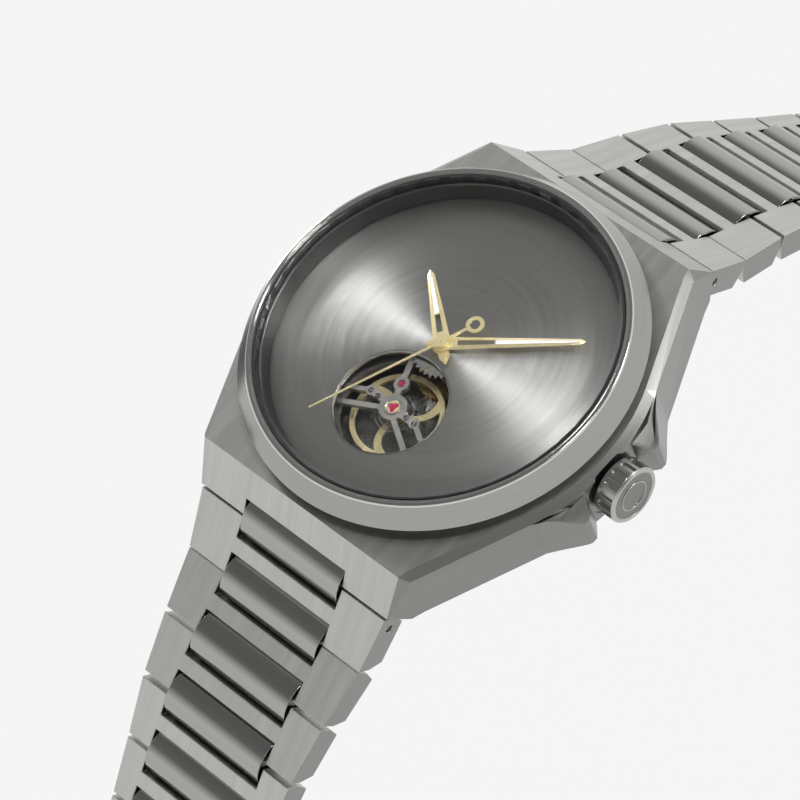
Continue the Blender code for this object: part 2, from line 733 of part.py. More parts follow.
def movement_frame():
    """The holder ring, the main plate with its rim, and the bridge that closes the train."""
    outer = BORE_RADIUS - FIT
    inner = PLATE_RADIUS + FIT
    top = DIAL_TOP - DIAL_THICKNESS - FIT
    holder = ring("movement_ring", inner, outer, BRIDGE_BOTTOM, top)
    stem_hole = disc("stem_hole", STEM_RADIUS + RUN, 0.0, CASE_RADIUS, 16)
    finish(cut(holder, along_x(stem_hole, CROWN_Z)), "holder")

    rim = PLATE_RADIUS - PLATE_RIM
    profile = [
        (CANNON_RADIUS + RUN, PLATE_BOTTOM),
        (rim, PLATE_BOTTOM),
        (rim, BRIDGE_TOP + FIT),
        (PLATE_RADIUS, BRIDGE_TOP + FIT),
        (PLATE_RADIUS, PLATE_TOP),
        (CANNON_RADIUS + RUN, PLATE_TOP),
    ]
    main = turned("main_plate", profile)
    opening = disc("opening", PLATE_OPENING, PLATE_BOTTOM - 0.5, PLATE_TOP + 1.0, 40, (0.0, BALANCE_Y))
    stem_hole = disc("stem_hole", STEM_RADIUS + RUN, 0.0, CASE_RADIUS, 16)
    finish(cut(main, opening, along_x(stem_hole, CROWN_Z)), "plate_dark")

    profile = [
        (0.0, ROTOR_Z + 0.1),
        (ROTOR_POST, ROTOR_Z + 0.1),
        (ROTOR_POST, BRIDGE_BOTTOM),
        (PLATE_RADIUS, BRIDGE_BOTTOM),
        (PLATE_RADIUS, BRIDGE_TOP),
        (0.0, BRIDGE_TOP),
    ]
    finish(turned("train_bridge", profile), "plate_dark")


def bar(name, start, end, width, low, high):
    """A straight flat arm from one point to another."""
    a = Vector(start)
    b = Vector(end)
    side = (b - a).normalized().orthogonal() * (width / 2.0)
    outline = [a + side, b + side, b - side, a - side]
    return plate(name, [tuple(p) for p in outline], low, high)


def balance_cock():
    """The three-armed bridge over the balance, with the jewel of the balance at its middle."""
    low = PLATE_TOP + FIT
    high = low + COCK_THICKNESS
    hub = disc("balance_bridge", 1.35, low, high, 24, (0.0, BALANCE_Y))
    reach = PLATE_OPENING + 0.55
    arms = []
    for angle in (204.0, 188.0, 327.0, 345.0, 104.0):
        x, y = point_at(reach, angle)
        arms.append(bar("arm", (0.0, BALANCE_Y), (x, BALANCE_Y + y), COCK_ARM, low, high))
    fuse(hub, *arms)
    for angle in (180.0, 0.0):
        x, y = point_at(3.1, angle)
        lug = bar("lug", (0.0, BALANCE_Y), (x, BALANCE_Y + y), COCK_ARM + 0.25, low, high)
        fuse(hub, lug, disc("boss", 0.5, low, high, 12, (x, BALANCE_Y + y)))
    train_jewel = point_at(2.65, 113.0)
    fuse(hub, disc("boss", 0.72, low, high, 16, (train_jewel[0], BALANCE_Y + train_jewel[1])))
    seat = disc("seat", JEWEL_RADIUS, low - 1.0, high + 1.0, FEW_FACETS, (0.0, BALANCE_Y))
    finish(cut(hub, seat), "bridge_steel")
    radius = JEWEL_RADIUS - FIT
    jewel = disc("balance_jewel", radius, low + 0.1, high - FIT, FEW_FACETS, (0.0, BALANCE_Y))
    return finish(jewel, "ruby")


def balance(parent):
    """The balance wheel on its staff, and the flat hairspring over it."""
    at = (0.0, BALANCE_Y)
    high = BALANCE_Z + BALANCE_THICKNESS
    wheel = ring("balance_wheel", BALANCE_RADIUS - BALANCE_RIM, BALANCE_RADIUS, BALANCE_Z, high, 40, at)
    profile = [(0.0, lower_end())]
    profile.append((STAFF_RADIUS, lower_end()))
    roller = (BALANCE_Z - 0.9, BALANCE_Z - 0.7, ROLLER_RADIUS)
    hub = (BALANCE_Z + 0.04, high - 0.04, ROLLER_RADIUS + 0.1)
    for bottom, top, radius in (roller, hub):
        profile += [(STAFF_RADIUS, bottom), (radius, bottom), (radius, top), (STAFF_RADIUS, top)]
    profile += [(STAFF_RADIUS, PLATE_TOP - RUN), (0.0, PLATE_TOP - RUN)]
    staff = turned("staff", profile, 16, at)
    spokes = []
    for index in range(3):
        angle = 200.0 + 120.0 * index
        x, y = point_at(0.32, angle)
        start = (x, BALANCE_Y + y)
        x, y = point_at(BALANCE_RADIUS - BALANCE_RIM / 2.0, angle)
        end = (x, BALANCE_Y + y)
        spokes.append(bar("spoke", start, end, 0.5, BALANCE_Z + 0.08, high - 0.08))
    finish(fuse(wheel, staff, *spokes), "gold", (0.0, BALANCE_Y, BALANCE_Z))

    per_turn = 20
    outline_in = []
    outline_out = []
    for step in range(SPRING_TURNS * per_turn + 1):
        radius = SPRING_START + SPRING_PITCH * step / per_turn
        angle = 360.0 * step / per_turn
        for outline, shift in ((outline_in, 0.0), (outline_out, SPRING_WALL)):
            x, y = point_at(radius + shift, angle)
            outline.append((x, BALANCE_Y + y))
    bm = bmesh.new()
    rows = []
    for inner, outer in zip(outline_in, outline_out):
        corners = [(*inner, SPRING_Z), (*outer, SPRING_Z)]
        corners += [(*outer, SPRING_Z + SPRING_HEIGHT), (*inner, SPRING_Z + SPRING_HEIGHT)]
        rows.append([bm.verts.new(corner) for corner in corners])
    for first, second in zip(rows, rows[1:]):
        for index in range(4):
            after = (index + 1) % 4
            bm.faces.new((first[index], first[after], second[after], second[index]))
    bm.faces.new(rows[0][::-1])
    bm.faces.new(rows[-1])
    finish(mesh_object("hairspring", bm), "steel", (0.0, BALANCE_Y, SPRING_Z), parent)


def pallet_fork(escape_at):
    """The lever between the escape wheel and the balance, with its two pallets."""
    escape = Vector(escape_at)
    staff = Vector((0.0, BALANCE_Y))
    toward_balance = (staff - escape).normalized()
    pivot = escape + toward_balance * (ESCAPE_RADIUS + 0.75)
    side = toward_balance.orthogonal()
    low = ESCAPE_Z
    high = ESCAPE_Z + 0.18
    tip = staff - toward_balance * (ROLLER_RADIUS + 0.22)
    lever = bar("pallet_fork", pivot, tip, 0.3, low, high)
    arms = []
    for hand in (1.0, -1.0):
        end = pivot + side * hand * 1.35 - toward_balance * 0.28
        arms.append(bar("arm", pivot, end, 0.3, low, high))
    shaft = arbor("shaft", ARBOR_RADIUS, lower_end(), CENTER_Z, pivot)
    return finish(fuse(lever, shaft, *arms), "steel", (*pivot, low))


def rotor():
    """The half-round winding weight on the back of the movement."""
    low = ROTOR_Z
    weight = ring(
        "rotor", ROTOR_RADIUS - ROTOR_WEIGHT_WIDTH, ROTOR_RADIUS, low, low + ROTOR_WEIGHT
    )
    far = ROTOR_RADIUS + 2.0
    cut(weight, box("half", (-far, 1.0, low - 1.0), (far, far, low + ROTOR_WEIGHT + 1.0)))
    hub = disc("hub", ROTOR_HUB, low, low + 0.5, 24)
    web = [point_at(ROTOR_HUB * 0.5, 20.0), point_at(ROTOR_HUB * 0.5, 160.0)]
    reach = ROTOR_RADIUS - ROTOR_WEIGHT_WIDTH + 0.5
    web += [point_at(reach, 205.0 + 10.0 * step) for step in range(14)]
    web = plate("web", web, low + 0.08, low + 0.42)
    fuse(weight, hub, web)
    hole = disc("hole", ROTOR_POST + RUN, low - 1.0, low + 2.0, FEW_FACETS)
    return finish(cut(weight, hole), "steel", (0.0, 0.0, ROTOR_Z))


# ---------------------------------------------------------------- hands and crown


def hand_frame(angle):
    """Turns a hand that points to 12 o'clock clockwise to its angle."""
    return Matrix.Rotation(-math.radians(angle), 4, "Z")


def dauphine(name, length, width, hub, low):
    """A faceted hand: a long kite with a ridge along its middle, and a bored hub."""
    bm = bmesh.new()
    shoulder = length * 0.92
    outline = [
        (0.0, -HAND_TAIL),
        (width * 0.42, -HAND_TAIL * 0.62),
        (width * 0.5, 0.4),
        (width * 0.19, shoulder),
        (0.0, length),
        (-width * 0.19, shoulder),
        (-width * 0.5, 0.4),
        (-width * 0.42, -HAND_TAIL * 0.62),
    ]
    base = [bm.verts.new((x, y, low)) for x, y in outline]
    edge = [bm.verts.new((x, y, low + HAND_THICKNESS * 0.4)) for x, y in outline]
    ridge_top = low + HAND_THICKNESS
    ridge = [bm.verts.new((0.0, y, ridge_top)) for y in (-HAND_TAIL * 0.6, 0.4, shoulder)]
    count = len(outline)
    bm.faces.new(base[::-1])
    for index in range(count):
        after = (index + 1) % count
        bm.faces.new((base[index], base[after], edge[after], edge[index]))
    tail, middle, tip = ridge
    for chain in (edge[0:5], [edge[0], edge[7], edge[6], edge[5], edge[4]]):
        bm.faces.new((chain[0], chain[1], tail))
        bm.faces.new((chain[1], chain[2], middle))
        bm.faces.new((chain[1], middle, tail))
        bm.faces.new((chain[2], chain[3], tip))
        bm.faces.new((chain[2], tip, middle))
        bm.faces.new((chain[3], chain[4], tip))
    blade = mesh_object(name, bm)
    fuse(blade, disc("boss", hub + 0.35, low - 0.01, low + HAND_THICKNESS + 0.01, FEW_FACETS))
    return blade


def hands():
    hour = dauphine("hour_hand", HOUR_LENGTH, HOUR_WIDTH, HOUR_PIPE_RADIUS, HOUR_Z)
    cut(hour, disc("hole", CANNON_RADIUS + RUN, 0.0, BEZEL_TOP_Z, 16))
    finish(move(hour, hand_frame(HOUR_ANGLE)), "gold", (0.0, 0.0, HOUR_Z))
    minute = dauphine("minute_hand", MINUTE_LENGTH, MINUTE_WIDTH, CANNON_RADIUS, MINUTE_Z)
    cut(minute, disc("hole", SECONDS_ARBOR + RUN, 0.0, BEZEL_TOP_Z, 16))
    finish(move(minute, hand_frame(MINUTE_ANGLE)), "gold", (0.0, 0.0, MINUTE_Z))

    low = SECONDS_Z
    high = low + 0.12
    needle = plate(
        "seconds_hand",
        [(-0.13, -SECONDS_TAIL), (0.13, -SECONDS_TAIL), (0.1, SECONDS_LENGTH), (-0.1, SECONDS_LENGTH)],
        low,
        high,
    )
    hub = disc("hub", 0.62, low - 0.01, high + 0.04, FEW_FACETS)
    weight = disc("weight", 0.95, low, high, 24, (0.0, -SECONDS_TAIL + 0.95))
    fuse(needle, hub, weight)
    opening = disc("opening", 0.55, low - 1.0, high + 1.0, 16, (0.0, -SECONDS_TAIL + 0.95))
    cut(needle, opening)
    finish(move(needle, hand_frame(SECONDS_ANGLE)), "gold", (0.0, 0.0, SECONDS_Z))


def crown_parts():
    """The slotted crown, its stem, and the tube that guides it through the case wall."""
    slots = []
    edge_facets = CROWN_SLOTS * 4
    for index in range(edge_facets):
        depth = CROWN_SLOT_DEPTH if index % 4 in (1, 2) else 0.0
        slots.append(point_at(CROWN_RADIUS - depth, 360.0 * index / edge_facets))
    face = [(x * 0.88, y * 0.88) for x, y in slots]
    crown = loft(
        "crown",
        [
            [(x, y, CROWN_BACK) for x, y in slots],
            [(x, y, CROWN_FACE - CROWN_EDGE) for x, y in slots],
            [(x, y, CROWN_FACE) for x, y in face],
        ],
    )
    cavity = disc("cavity", CROWN_CAVITY, CROWN_BACK - 1.0, CROWN_BACK + 1.5, FEW_FACETS)
    socket = disc("socket", STEM_RADIUS + RUN, CROWN_BACK, CROWN_FACE - STEM_SOCKET, 16)
    cut(crown, cavity, socket)
    finish(along_x(crown, CROWN_Z), "polished_gunmetal", (CROWN_BACK, 0.0, CROWN_Z))

    stem = disc("winding_stem", STEM_RADIUS, STEM_INNER, CROWN_FACE - STEM_SOCKET - RUN, 12)
    finish(along_x(stem, CROWN_Z), "steel", (STEM_INNER, 0.0, CROWN_Z))

    start = BORE_RADIUS + 0.3
    tube = ring("crown_tube", STEM_RADIUS + RUN, TUBE_RADIUS, start, CROWN_BACK + 1.3, 16)
    finish(along_x(tube, CROWN_Z), "steel")


# ---------------------------------------------------------------- bracelet


def half_width(index):
    """Half the bracelet's width at the seam after the given number of links."""
    if index >= TAPER_LINKS:
        return LAST_HALF_WIDTH
    share = 1.0 - index / TAPER_LINKS
    return LAST_HALF_WIDTH + (FIRST_HALF_WIDTH - LAST_HALF_WIDTH) * share**TAPER_POWER


def hinge_lines():
    """(y, z) of every hinge line at 12 o'clock, from the case to the clasp."""
    lines = [first_hinge()]
    for angle in LINK_ANGLES:
        y, z = lines[-1]
        turn = math.radians(angle)
        lines.append((y + LINK_PITCH * math.cos(turn), z - LINK_PITCH * math.sin(turn)))
    return lines


def barrel_outline(radius, proud):
    """A centre barrel's section: a bold arc on top, and a round belly about its hinge line."""
    middle = LINK_THICKNESS / 2.0 + proud - CENTER_ARC
    first = math.degrees(math.acos(radius / CENTER_ARC))
    outline = [point_at(CENTER_ARC, first + (180.0 - 2.0 * first) * step / 8.0) for step in range(9)]
    outline = [(y, z + middle) for y, z in outline]
    belly = LINK_THICKNESS * 0.55
    for reach, angle in ((radius, 200.0), (belly, 225.0), (belly, 315.0), (radius, 340.0)):
        outline.append(point_at(reach, angle))
    return outline


def bar_section(end, relief):
    """A link's section along the bracelet: its near end is relieved below the hinge line."""
    half = LINK_THICKNESS / 2.0
    lean = half * math.tan(math.radians(LINK_RELIEF))
    outline = [(LINK_GAP, half), (LINK_GAP, 0.0), (LINK_GAP + lean, -half)]
    return outline + [(end - lean * relief, -half), (end, 0.0), (end, half)]


def near_end(body):
    """Cuts the near notch of a link or clasp half, and pins the centre barrel in it."""
    notch = BARREL_HALF + NOTCH_SIDE
    beyond = LINK_THICKNESS
    cut(body, box("near", (-notch, -beyond, -beyond), (notch, NOTCH_RADIUS, beyond)))
    barrel = strip("barrel", barrel_outline(CENTER_RADIUS, CENTER_CROWN), BARREL_HALF)
    wide = BARREL_HALF - WEB_INSET
    web = box("web", (-wide, WEB_START, WEB_BOTTOM), (wide, NOTCH_RADIUS + 0.7, WEB_TOP))
    return fuse(body, barrel, web)


def link(name, index):
    """One H-link, flat along +Y from its near hinge line, with its centre barrel pinned to it."""
    loops = []
    for side in (-1.0, 1.0):
        loop = []
        for y, z in bar_section(LINK_PITCH - LINK_GAP, 1.0):
            width = half_width(index) + (half_width(index + 1) - half_width(index)) * y / LINK_PITCH
            loop.append((side * width, y, z))
        loops.append(loop)
    body = loft(name, loops)
    notch = BARREL_HALF + NOTCH_SIDE
    beyond = LINK_THICKNESS
    start = LINK_PITCH - NOTCH_RADIUS
    cut(body, box("far", (-notch, start, -beyond), (notch, LINK_PITCH + beyond, beyond)))
    return near_end(body)


def place_on(obj, side, line, angle):
    """Lays a bracelet piece, made flat along +Y, on its hinge line at its angle, on either side."""
    turn = Matrix.Rotation(-math.radians(angle), 4, "X")
    matrix = Matrix.Translation((0.0, *line)) @ turn
    if side < 0.0:
        matrix = Matrix.Rotation(math.pi, 4, "Z") @ matrix
    return move(obj, matrix)


def bracelet():
    lines = hinge_lines()
    for side, clock in ((1.0, "12"), (-1.0, "06")):
        for index, angle in enumerate(LINK_ANGLES):
            made = link(f"link_{clock}_{index + 1:02d}", index)
            line = lines[index]
            place_on(made, side, line, angle)
            finish(made, "brushed_gunmetal", (0.0, side * line[0], line[1]))
    return lines[-1]


def clasp(line):
    """The undone box clasp: the box with its push pieces at 12 o'clock, the tongue at 6 o'clock."""
    body = near_end(strip("clasp_box", bar_section(BOX_LENGTH, 0.0), LAST_HALF_WIDTH))
    half = BOX_CAVITY_HALF
    cavity_z = BOX_CAVITY_HEIGHT / 2.0
    floor = BOX_LENGTH - TONGUE_REACH - 0.5
    cavity = box("cavity", (-half, floor, -cavity_z), (half, BOX_LENGTH + 1.0, cavity_z))
    pocket_y = PUSHER_LENGTH / 2.0 + RUN
    pocket_z = PUSHER_HEIGHT / 2.0 + RUN
    wide = LAST_HALF_WIDTH + 1.0
    pockets = box("pockets", (-wide, PUSHER_Y - pocket_y, -pocket_z), (wide, PUSHER_Y + pocket_y, pocket_z))
    cut(body, cavity, pockets)
    finish(place_on(body, 1.0, line, CLASP_ANGLE), "brushed_gunmetal", (0.0, line[0], line[1]))
    for side, word in ((1.0, "right"), (-1.0, "left")):
        ends = sorted((side * (BOX_CAVITY_HALF + PUSHER_STOP), side * (LAST_HALF_WIDTH + PUSHER_PROUD)))
        low = (ends[0], PUSHER_Y - PUSHER_LENGTH / 2.0, -PUSHER_HEIGHT / 2.0)
        high = (ends[1], PUSHER_Y + PUSHER_LENGTH / 2.0, PUSHER_HEIGHT / 2.0)
        pusher = place_on(box(f"clasp_pusher_{word}", low, high), 1.0, line, CLASP_ANGLE)
        finish(pusher, "polished_gunmetal", (side * LAST_HALF_WIDTH, line[0], line[1]))

    tongue = near_end(strip("clasp_tongue", bar_section(TONGUE_LENGTH, 0.0), LAST_HALF_WIDTH))
    root = TONGUE_LENGTH - 1.0
    tip = TONGUE_LENGTH + TONGUE_REACH
    catch = tip - CATCH_LENGTH - 1.2
    neck = TONGUE_HALF - CATCH_NOTCH
    right = [(TONGUE_HALF, root), (TONGUE_HALF, catch), (neck, catch), (neck, catch + CATCH_LENGTH)]
    right += [(TONGUE_HALF, catch + CATCH_LENGTH), (TONGUE_HALF, tip - 0.5), (TONGUE_HALF - 0.7, tip)]
    outline = right + [(-x, y) for x, y in reversed(right)]
    sheet = plate("sheet", outline, -TONGUE_THICKNESS / 2.0, TONGUE_THICKNESS / 2.0)
    fuse(tongue, sheet)
    place_on(tongue, -1.0, line, CLASP_ANGLE)
    finish(tongue, "brushed_gunmetal", (0.0, -line[0], line[1]))


# ---------------------------------------------------------------- the watch

for leftover in list(bpy.data.objects):
    bpy.data.objects.remove(leftover)

middle_case()
bezel()
crystal()
crystal_gasket()
rehaut_ring()
dial()
case_back()
movement_frame()
balance_cock()
escape_place = going_train()
motion_work()
balance(bpy.data.objects["balance_bridge"])
pallet_fork(escape_place)
rotor()
hands()
crown_parts()
clasp(bracelet())
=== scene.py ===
"""Looks of an automatic wristwatch with an open balance window and an H-link bracelet.

Shapes are drawn in millimetres and scaled to metres as each piece is made. The frame is the
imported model's: +X to the crown, +Y to 12 o'clock, +Z out of the dial.
"""

import math

import bmesh
import bpy
from mathutils import Matrix, Vector


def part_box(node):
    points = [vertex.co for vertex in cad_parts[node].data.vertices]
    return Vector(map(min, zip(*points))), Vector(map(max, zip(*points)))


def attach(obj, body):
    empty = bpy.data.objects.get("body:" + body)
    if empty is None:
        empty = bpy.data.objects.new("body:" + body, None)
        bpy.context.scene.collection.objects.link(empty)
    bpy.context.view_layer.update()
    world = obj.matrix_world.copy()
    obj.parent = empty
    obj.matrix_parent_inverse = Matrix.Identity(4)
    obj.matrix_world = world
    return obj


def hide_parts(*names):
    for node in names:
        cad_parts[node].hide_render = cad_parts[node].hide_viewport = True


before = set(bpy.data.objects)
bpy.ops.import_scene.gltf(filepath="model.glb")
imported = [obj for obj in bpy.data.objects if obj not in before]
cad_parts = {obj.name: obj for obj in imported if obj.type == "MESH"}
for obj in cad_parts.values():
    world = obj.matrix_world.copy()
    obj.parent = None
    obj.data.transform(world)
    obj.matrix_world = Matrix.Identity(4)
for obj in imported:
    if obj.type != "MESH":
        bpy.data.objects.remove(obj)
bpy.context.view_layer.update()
MM = 0.001

# ---------------------------------------------------------------- stage: floor, light, camera
# The watch is shown in the air over a pale glowing floor. The sky is bright near the horizon and
# darker overhead, as in a light tent with an open top, so flat tops read darker than slopes. A
# dark card out of the camera's sight shades the bezel's left side.

FLOOR_DEPTH = 0.75
FLOOR_HALF = 8.0
FLOOR_COLOR = (0.05, 0.05, 0.05)
FLOOR_GLOW = 0.868
CARD_COLOR = (0.1, 0.1, 0.1)
CARD_PLACE = (-1.12, 0.08)
CARD_HALF = 0.3
CARD_HEIGHT = 0.01
SQUARE = ((-1, -1), (1, -1), (1, 1), (-1, 1))
AIM = Vector((0.67, -6.8, 8.91)) * MM
VIEW_AZIMUTH = 64.77
VIEW_ELEVATION = 55.04
VIEW_ROLL = -25.18
VIEW_DISTANCE = 0.4014
LENS = 190.8


def link_nodes(material, start, end):
    material.node_tree.links.new(start, end)


def new_material(name, color, roughness, metallic):
    """A material with a Principled shader, returned with its node list and that shader."""
    made = bpy.data.materials.new(name)
    made.use_nodes = True
    nodes = made.node_tree.nodes
    shader = nodes["Principled BSDF"]
    shader.inputs["Base Color"].default_value = (*color, 1.0)
    shader.inputs["Roughness"].default_value = roughness
    shader.inputs["Metallic"].default_value = metallic
    return made, nodes, shader


def mottle(material, scale, low_value, high_value, target):
    """Lets a shader value vary between two limits over the surface."""
    nodes = material.node_tree.nodes
    noise = nodes.new("ShaderNodeTexNoise")
    noise.inputs["Scale"].default_value = scale
    limits = nodes.new("ShaderNodeMapRange")
    limits.inputs["To Min"].default_value = low_value
    limits.inputs["To Max"].default_value = high_value
    link_nodes(material, noise.outputs["Fac"], limits.inputs["Value"])
    link_nodes(material, limits.outputs["Result"], nodes["Principled BSDF"].inputs[target])


def toward(azimuth, elevation):
    """Unit vector from the watch to a place seen at that azimuth and elevation."""
    a = math.radians(azimuth)
    e = math.radians(elevation)
    return Vector((math.sin(a) * math.cos(e), -math.cos(a) * math.cos(e), math.sin(e)))


def sheet(name, center, half, z):
    """A square sheet of paper lying level."""
    mesh = bpy.data.meshes.new(name)
    corners = [(center[0] + x * half, center[1] + y * half, z) for x, y in SQUARE]
    mesh.from_pydata(corners, [], [(0, 1, 2, 3)])
    made = bpy.data.objects.new(name, mesh)
    bpy.context.scene.collection.objects.link(made)
    return made


floor = sheet("floor", (0.0, 0.0), FLOOR_HALF, -FLOOR_DEPTH)
floor_paper, nodes, shader = new_material("floor_paper", FLOOR_COLOR, 0.9, 0.0)
mottle(floor_paper, 9.0, 0.05, 0.06, "Base Color")
shader.inputs["Emission Color"].default_value = (1.0, 1.0, 1.0, 1.0)
shader.inputs["Emission Strength"].default_value = FLOOR_GLOW
floor.data.materials.append(floor_paper)
card_paper = new_material("card_paper", CARD_COLOR, 0.9, 0.0)[0]
mottle(card_paper, 12.0, 0.08, 0.12, "Base Color")
card = sheet("shade_card", CARD_PLACE, CARD_HALF, CARD_HEIGHT - FLOOR_DEPTH)
card.data.materials.append(card_paper)
card.visible_camera = False

world = bpy.data.worlds.new("light_tent")
bpy.context.scene.world = world
world.use_nodes = True
tent = world.node_tree
direction = tent.nodes.new("ShaderNodeTexCoord")
height = tent.nodes.new("ShaderNodeSeparateXYZ")
tent.links.new(direction.outputs["Generated"], height.inputs["Vector"])
span = tent.nodes.new("ShaderNodeMapRange")
span.inputs["From Min"].default_value = -1.0
span.inputs["From Max"].default_value = 1.0
tent.links.new(height.outputs["Z"], span.inputs["Value"])
sky = tent.nodes.new("ShaderNodeValToRGB")
SKY_TONES = ((0.0, 0.9), (0.5, 0.95), (0.62, 0.95), (0.74, 0.62), (0.84, 0.25), (1.0, 0.17))
for index, (place, tone) in enumerate(SKY_TONES):
    stop = sky.color_ramp.elements[index] if index < 2 else sky.color_ramp.elements.new(place)
    stop.position = place
    stop.color = (tone, tone, tone * 0.99, 1.0)
tent.links.new(span.outputs["Result"], sky.inputs["Fac"])
tent.links.new(sky.outputs["Color"], tent.nodes["Background"].inputs["Color"])
tent.nodes["Background"].inputs["Strength"].default_value = 1.0


def softbox(name, place, width, depth, energy, target=(0.0, 0.0, 0.0)):
    """A rectangular area light at a place, turned to the target."""
    light = bpy.data.lights.new(name, "AREA")
    light.shape = "RECTANGLE"
    light.size = width
    light.size_y = depth
    light.energy = energy
    made = bpy.data.objects.new(name, light)
    made.location = place
    made.rotation_euler = (Vector(target) - Vector(place)).to_track_quat("-Z", "Y").to_euler()
    bpy.context.scene.collection.objects.link(made)
    return made


softbox("key_light", toward(147.0, 36.0) * 0.9, 0.22, 0.22, 3.2)
softbox("low_dial_light", Vector((-0.87, 0.244, 0.43)) * 0.9, 0.12, 0.3, 1.3)
softbox("high_dial_light", Vector((0.22, 0.244, 0.94)) * 0.9, 0.12, 0.2, 1.7)

camera = bpy.data.objects.new("camera", bpy.data.cameras.new("camera"))
back = toward(VIEW_AZIMUTH, VIEW_ELEVATION)
level = back.to_track_quat("Z", "Y").to_matrix().to_4x4()
roll = Matrix.Rotation(math.radians(VIEW_ROLL), 4, "Z")
camera.matrix_world = Matrix.Translation(AIM + back * VIEW_DISTANCE) @ level @ roll
camera.data.lens = LENS
camera.data.clip_start = 0.01
bpy.context.scene.collection.objects.link(camera)
bpy.context.scene.camera = camera
bpy.context.scene.view_settings.view_transform = "Standard"

# ---------------------------------------------------------------- middle case
# The case is one block of gunmetal coated steel. Its top is brushed dark, its two sloping ends
# carry on the bracelet's brushing, and a narrow bright bevel runs along the flanks. The flanks and
# the inside are given a darker copy of the steel's colour, as painted shade.

CASE_RADIUS = 21.2
SHOULDER_WIDTH = 0.8
SHOULDER_DROP = 0.75
END_Y = 20.6
END_HALF_WIDTH = 13.2
END_ANGLE = 58.0
CORNER = (14.05, 20.1)
SEAM = (23.409, 3.155)
BRACELET_HALF_WIDTH = 12.6
FIRST_LINK_ANGLE = 45.0
LINK_GAP = 0.2
BORE_RADIUS = 17.0
BACK_SEAT = (18.05, 2.1)
GUARD_TIP = (22.3, 4.9)
GUARD_TIP_WIDTH = 1.0
GUARD_ROOT_Y = 9.4
CROWN_Z = 4.14
CASE_EDGE = 0.09


def low(node):
    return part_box(node)[0] / MM


def high(node):
    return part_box(node)[1] / MM


def point_at(radius, degrees):
    angle = math.radians(degrees)
    return radius * math.cos(angle), radius * math.sin(angle)


def arc(radius, start, end, steps, center=(0.0, 0.0)):
    """Points along an arc, both ends included."""
    points = []
    for step in range(steps + 1):
        x, y = point_at(radius, start + (end - start) * step / steps)
        points.append((center[0] + x, center[1] + y))
    return points


def add_turned(bm, profile, facets=96, center=(0.0, 0.0)):
    """Turns a closed profile of (radius, height) points round the Z axis."""
    rings = []
    for radius, z in profile:
        if radius == 0.0:
            rings.append([bm.verts.new((center[0], center[1], z))])
            continue
        places = [point_at(radius, 360.0 * step / facets) for step in range(facets)]
        rings.append([bm.verts.new((center[0] + x, center[1] + y, z)) for x, y in places])
    for index, ring in enumerate(rings):
        other = rings[(index + 1) % len(rings)]
        if len(ring) == 1 and len(other) == 1:
            continue
        for step in range(facets):
            after = (step + 1) % facets
            if len(ring) == 1:
                bm.faces.new((ring[0], other[after], other[step]))
            elif len(other) == 1:
                bm.faces.new((ring[step], ring[after], other[0]))
            else:
                bm.faces.new((ring[step], ring[after], other[after], other[step]))


def add_loft(bm, loops):
    """A closed solid through loops of equally many points, with its two end loops filled."""
    rows = [[bm.verts.new(point) for point in loop] for loop in loops]
    for first, second in zip(rows, rows[1:]):
        for index in range(len(first)):
            after = (index + 1) % len(first)
            bm.faces.new((first[index], first[after], second[after], second[index]))
    bm.faces.new(rows[0][::-1])
    bm.faces.new(rows[-1])


def add_plate(bm, outline, bottom, top):
    add_loft(bm, [[(x, y, z) for x, y in outline] for z in (bottom, top)])


def add_disc(bm, radius, bottom, top, facets=32, center=(0.0, 0.0)):
    outline = arc(radius, 0.0, 360.0, facets, center)[:-1]
    add_plate(bm, outline, bottom, top)


def add_strip(bm, outline, half_width):
    """Extrudes an outline of (y, z) points across the watch, along X."""
    add_loft(bm, [[(side * half_width, y, z) for y, z in outline] for side in (-1.0, 1.0)])


def solid(draw, *arguments):
    """A loose object from one of the drawing functions, for joining and cutting."""
    bm = bmesh.new()
    draw(bm, *arguments)
    bmesh.ops.recalc_face_normals(bm, faces=bm.faces)
    mesh = bpy.data.meshes.new("solid")
    bm.to_mesh(mesh)
    bm.free()
    made = bpy.data.objects.new("solid", mesh)
    bpy.context.scene.collection.objects.link(made)
    return made


def combine(base, others, operation):
    """Joins other solids to the base, or cuts them from it, and deletes them."""
    for other in others:
        modifier = base.modifiers.new(operation, "BOOLEAN")
        modifier.operation = operation
        modifier.solver = "EXACT"
        modifier.object = other
    bpy.context.view_layer.update()
    graph = bpy.context.evaluated_depsgraph_get()
    mesh = bpy.data.meshes.new_from_object(base.evaluated_get(graph))
    base.modifiers.clear()
    base.data = mesh
    for other in others:
        bpy.data.objects.remove(other)
    return base


def cut(base, *others):
    return combine(base, others, "DIFFERENCE")


def fuse(base, *others):
    return combine(base, others, "UNION")


def slice_off(target, point, normal):
    """Cuts away what lies beyond a plane, and closes the cut."""
    bm = bmesh.new()
    bm.from_mesh(target.data)
    everything = bm.verts[:] + bm.edges[:] + bm.faces[:]
    result = bmesh.ops.bisect_plane(
        bm, geom=everything, dist=1e-6, plane_co=point, plane_no=normal, clear_outer=True
    )
    edges = [item for item in result["geom_cut"] if isinstance(item, bmesh.types.BMEdge)]
    bmesh.ops.edgenet_fill(bm, edges=edges)
    bmesh.ops.recalc_face_normals(bm, faces=bm.faces)
    bm.to_mesh(target.data)
    bm.free()


def along_x(target, z):
    """Turns a solid drawn round the Z axis so that it lies round the crown's line."""
    turn = Matrix.Rotation(math.radians(90.0), 4, "Y")
    target.data.transform(Matrix.Translation((0.0, 0.0, z)) @ turn)
    return target


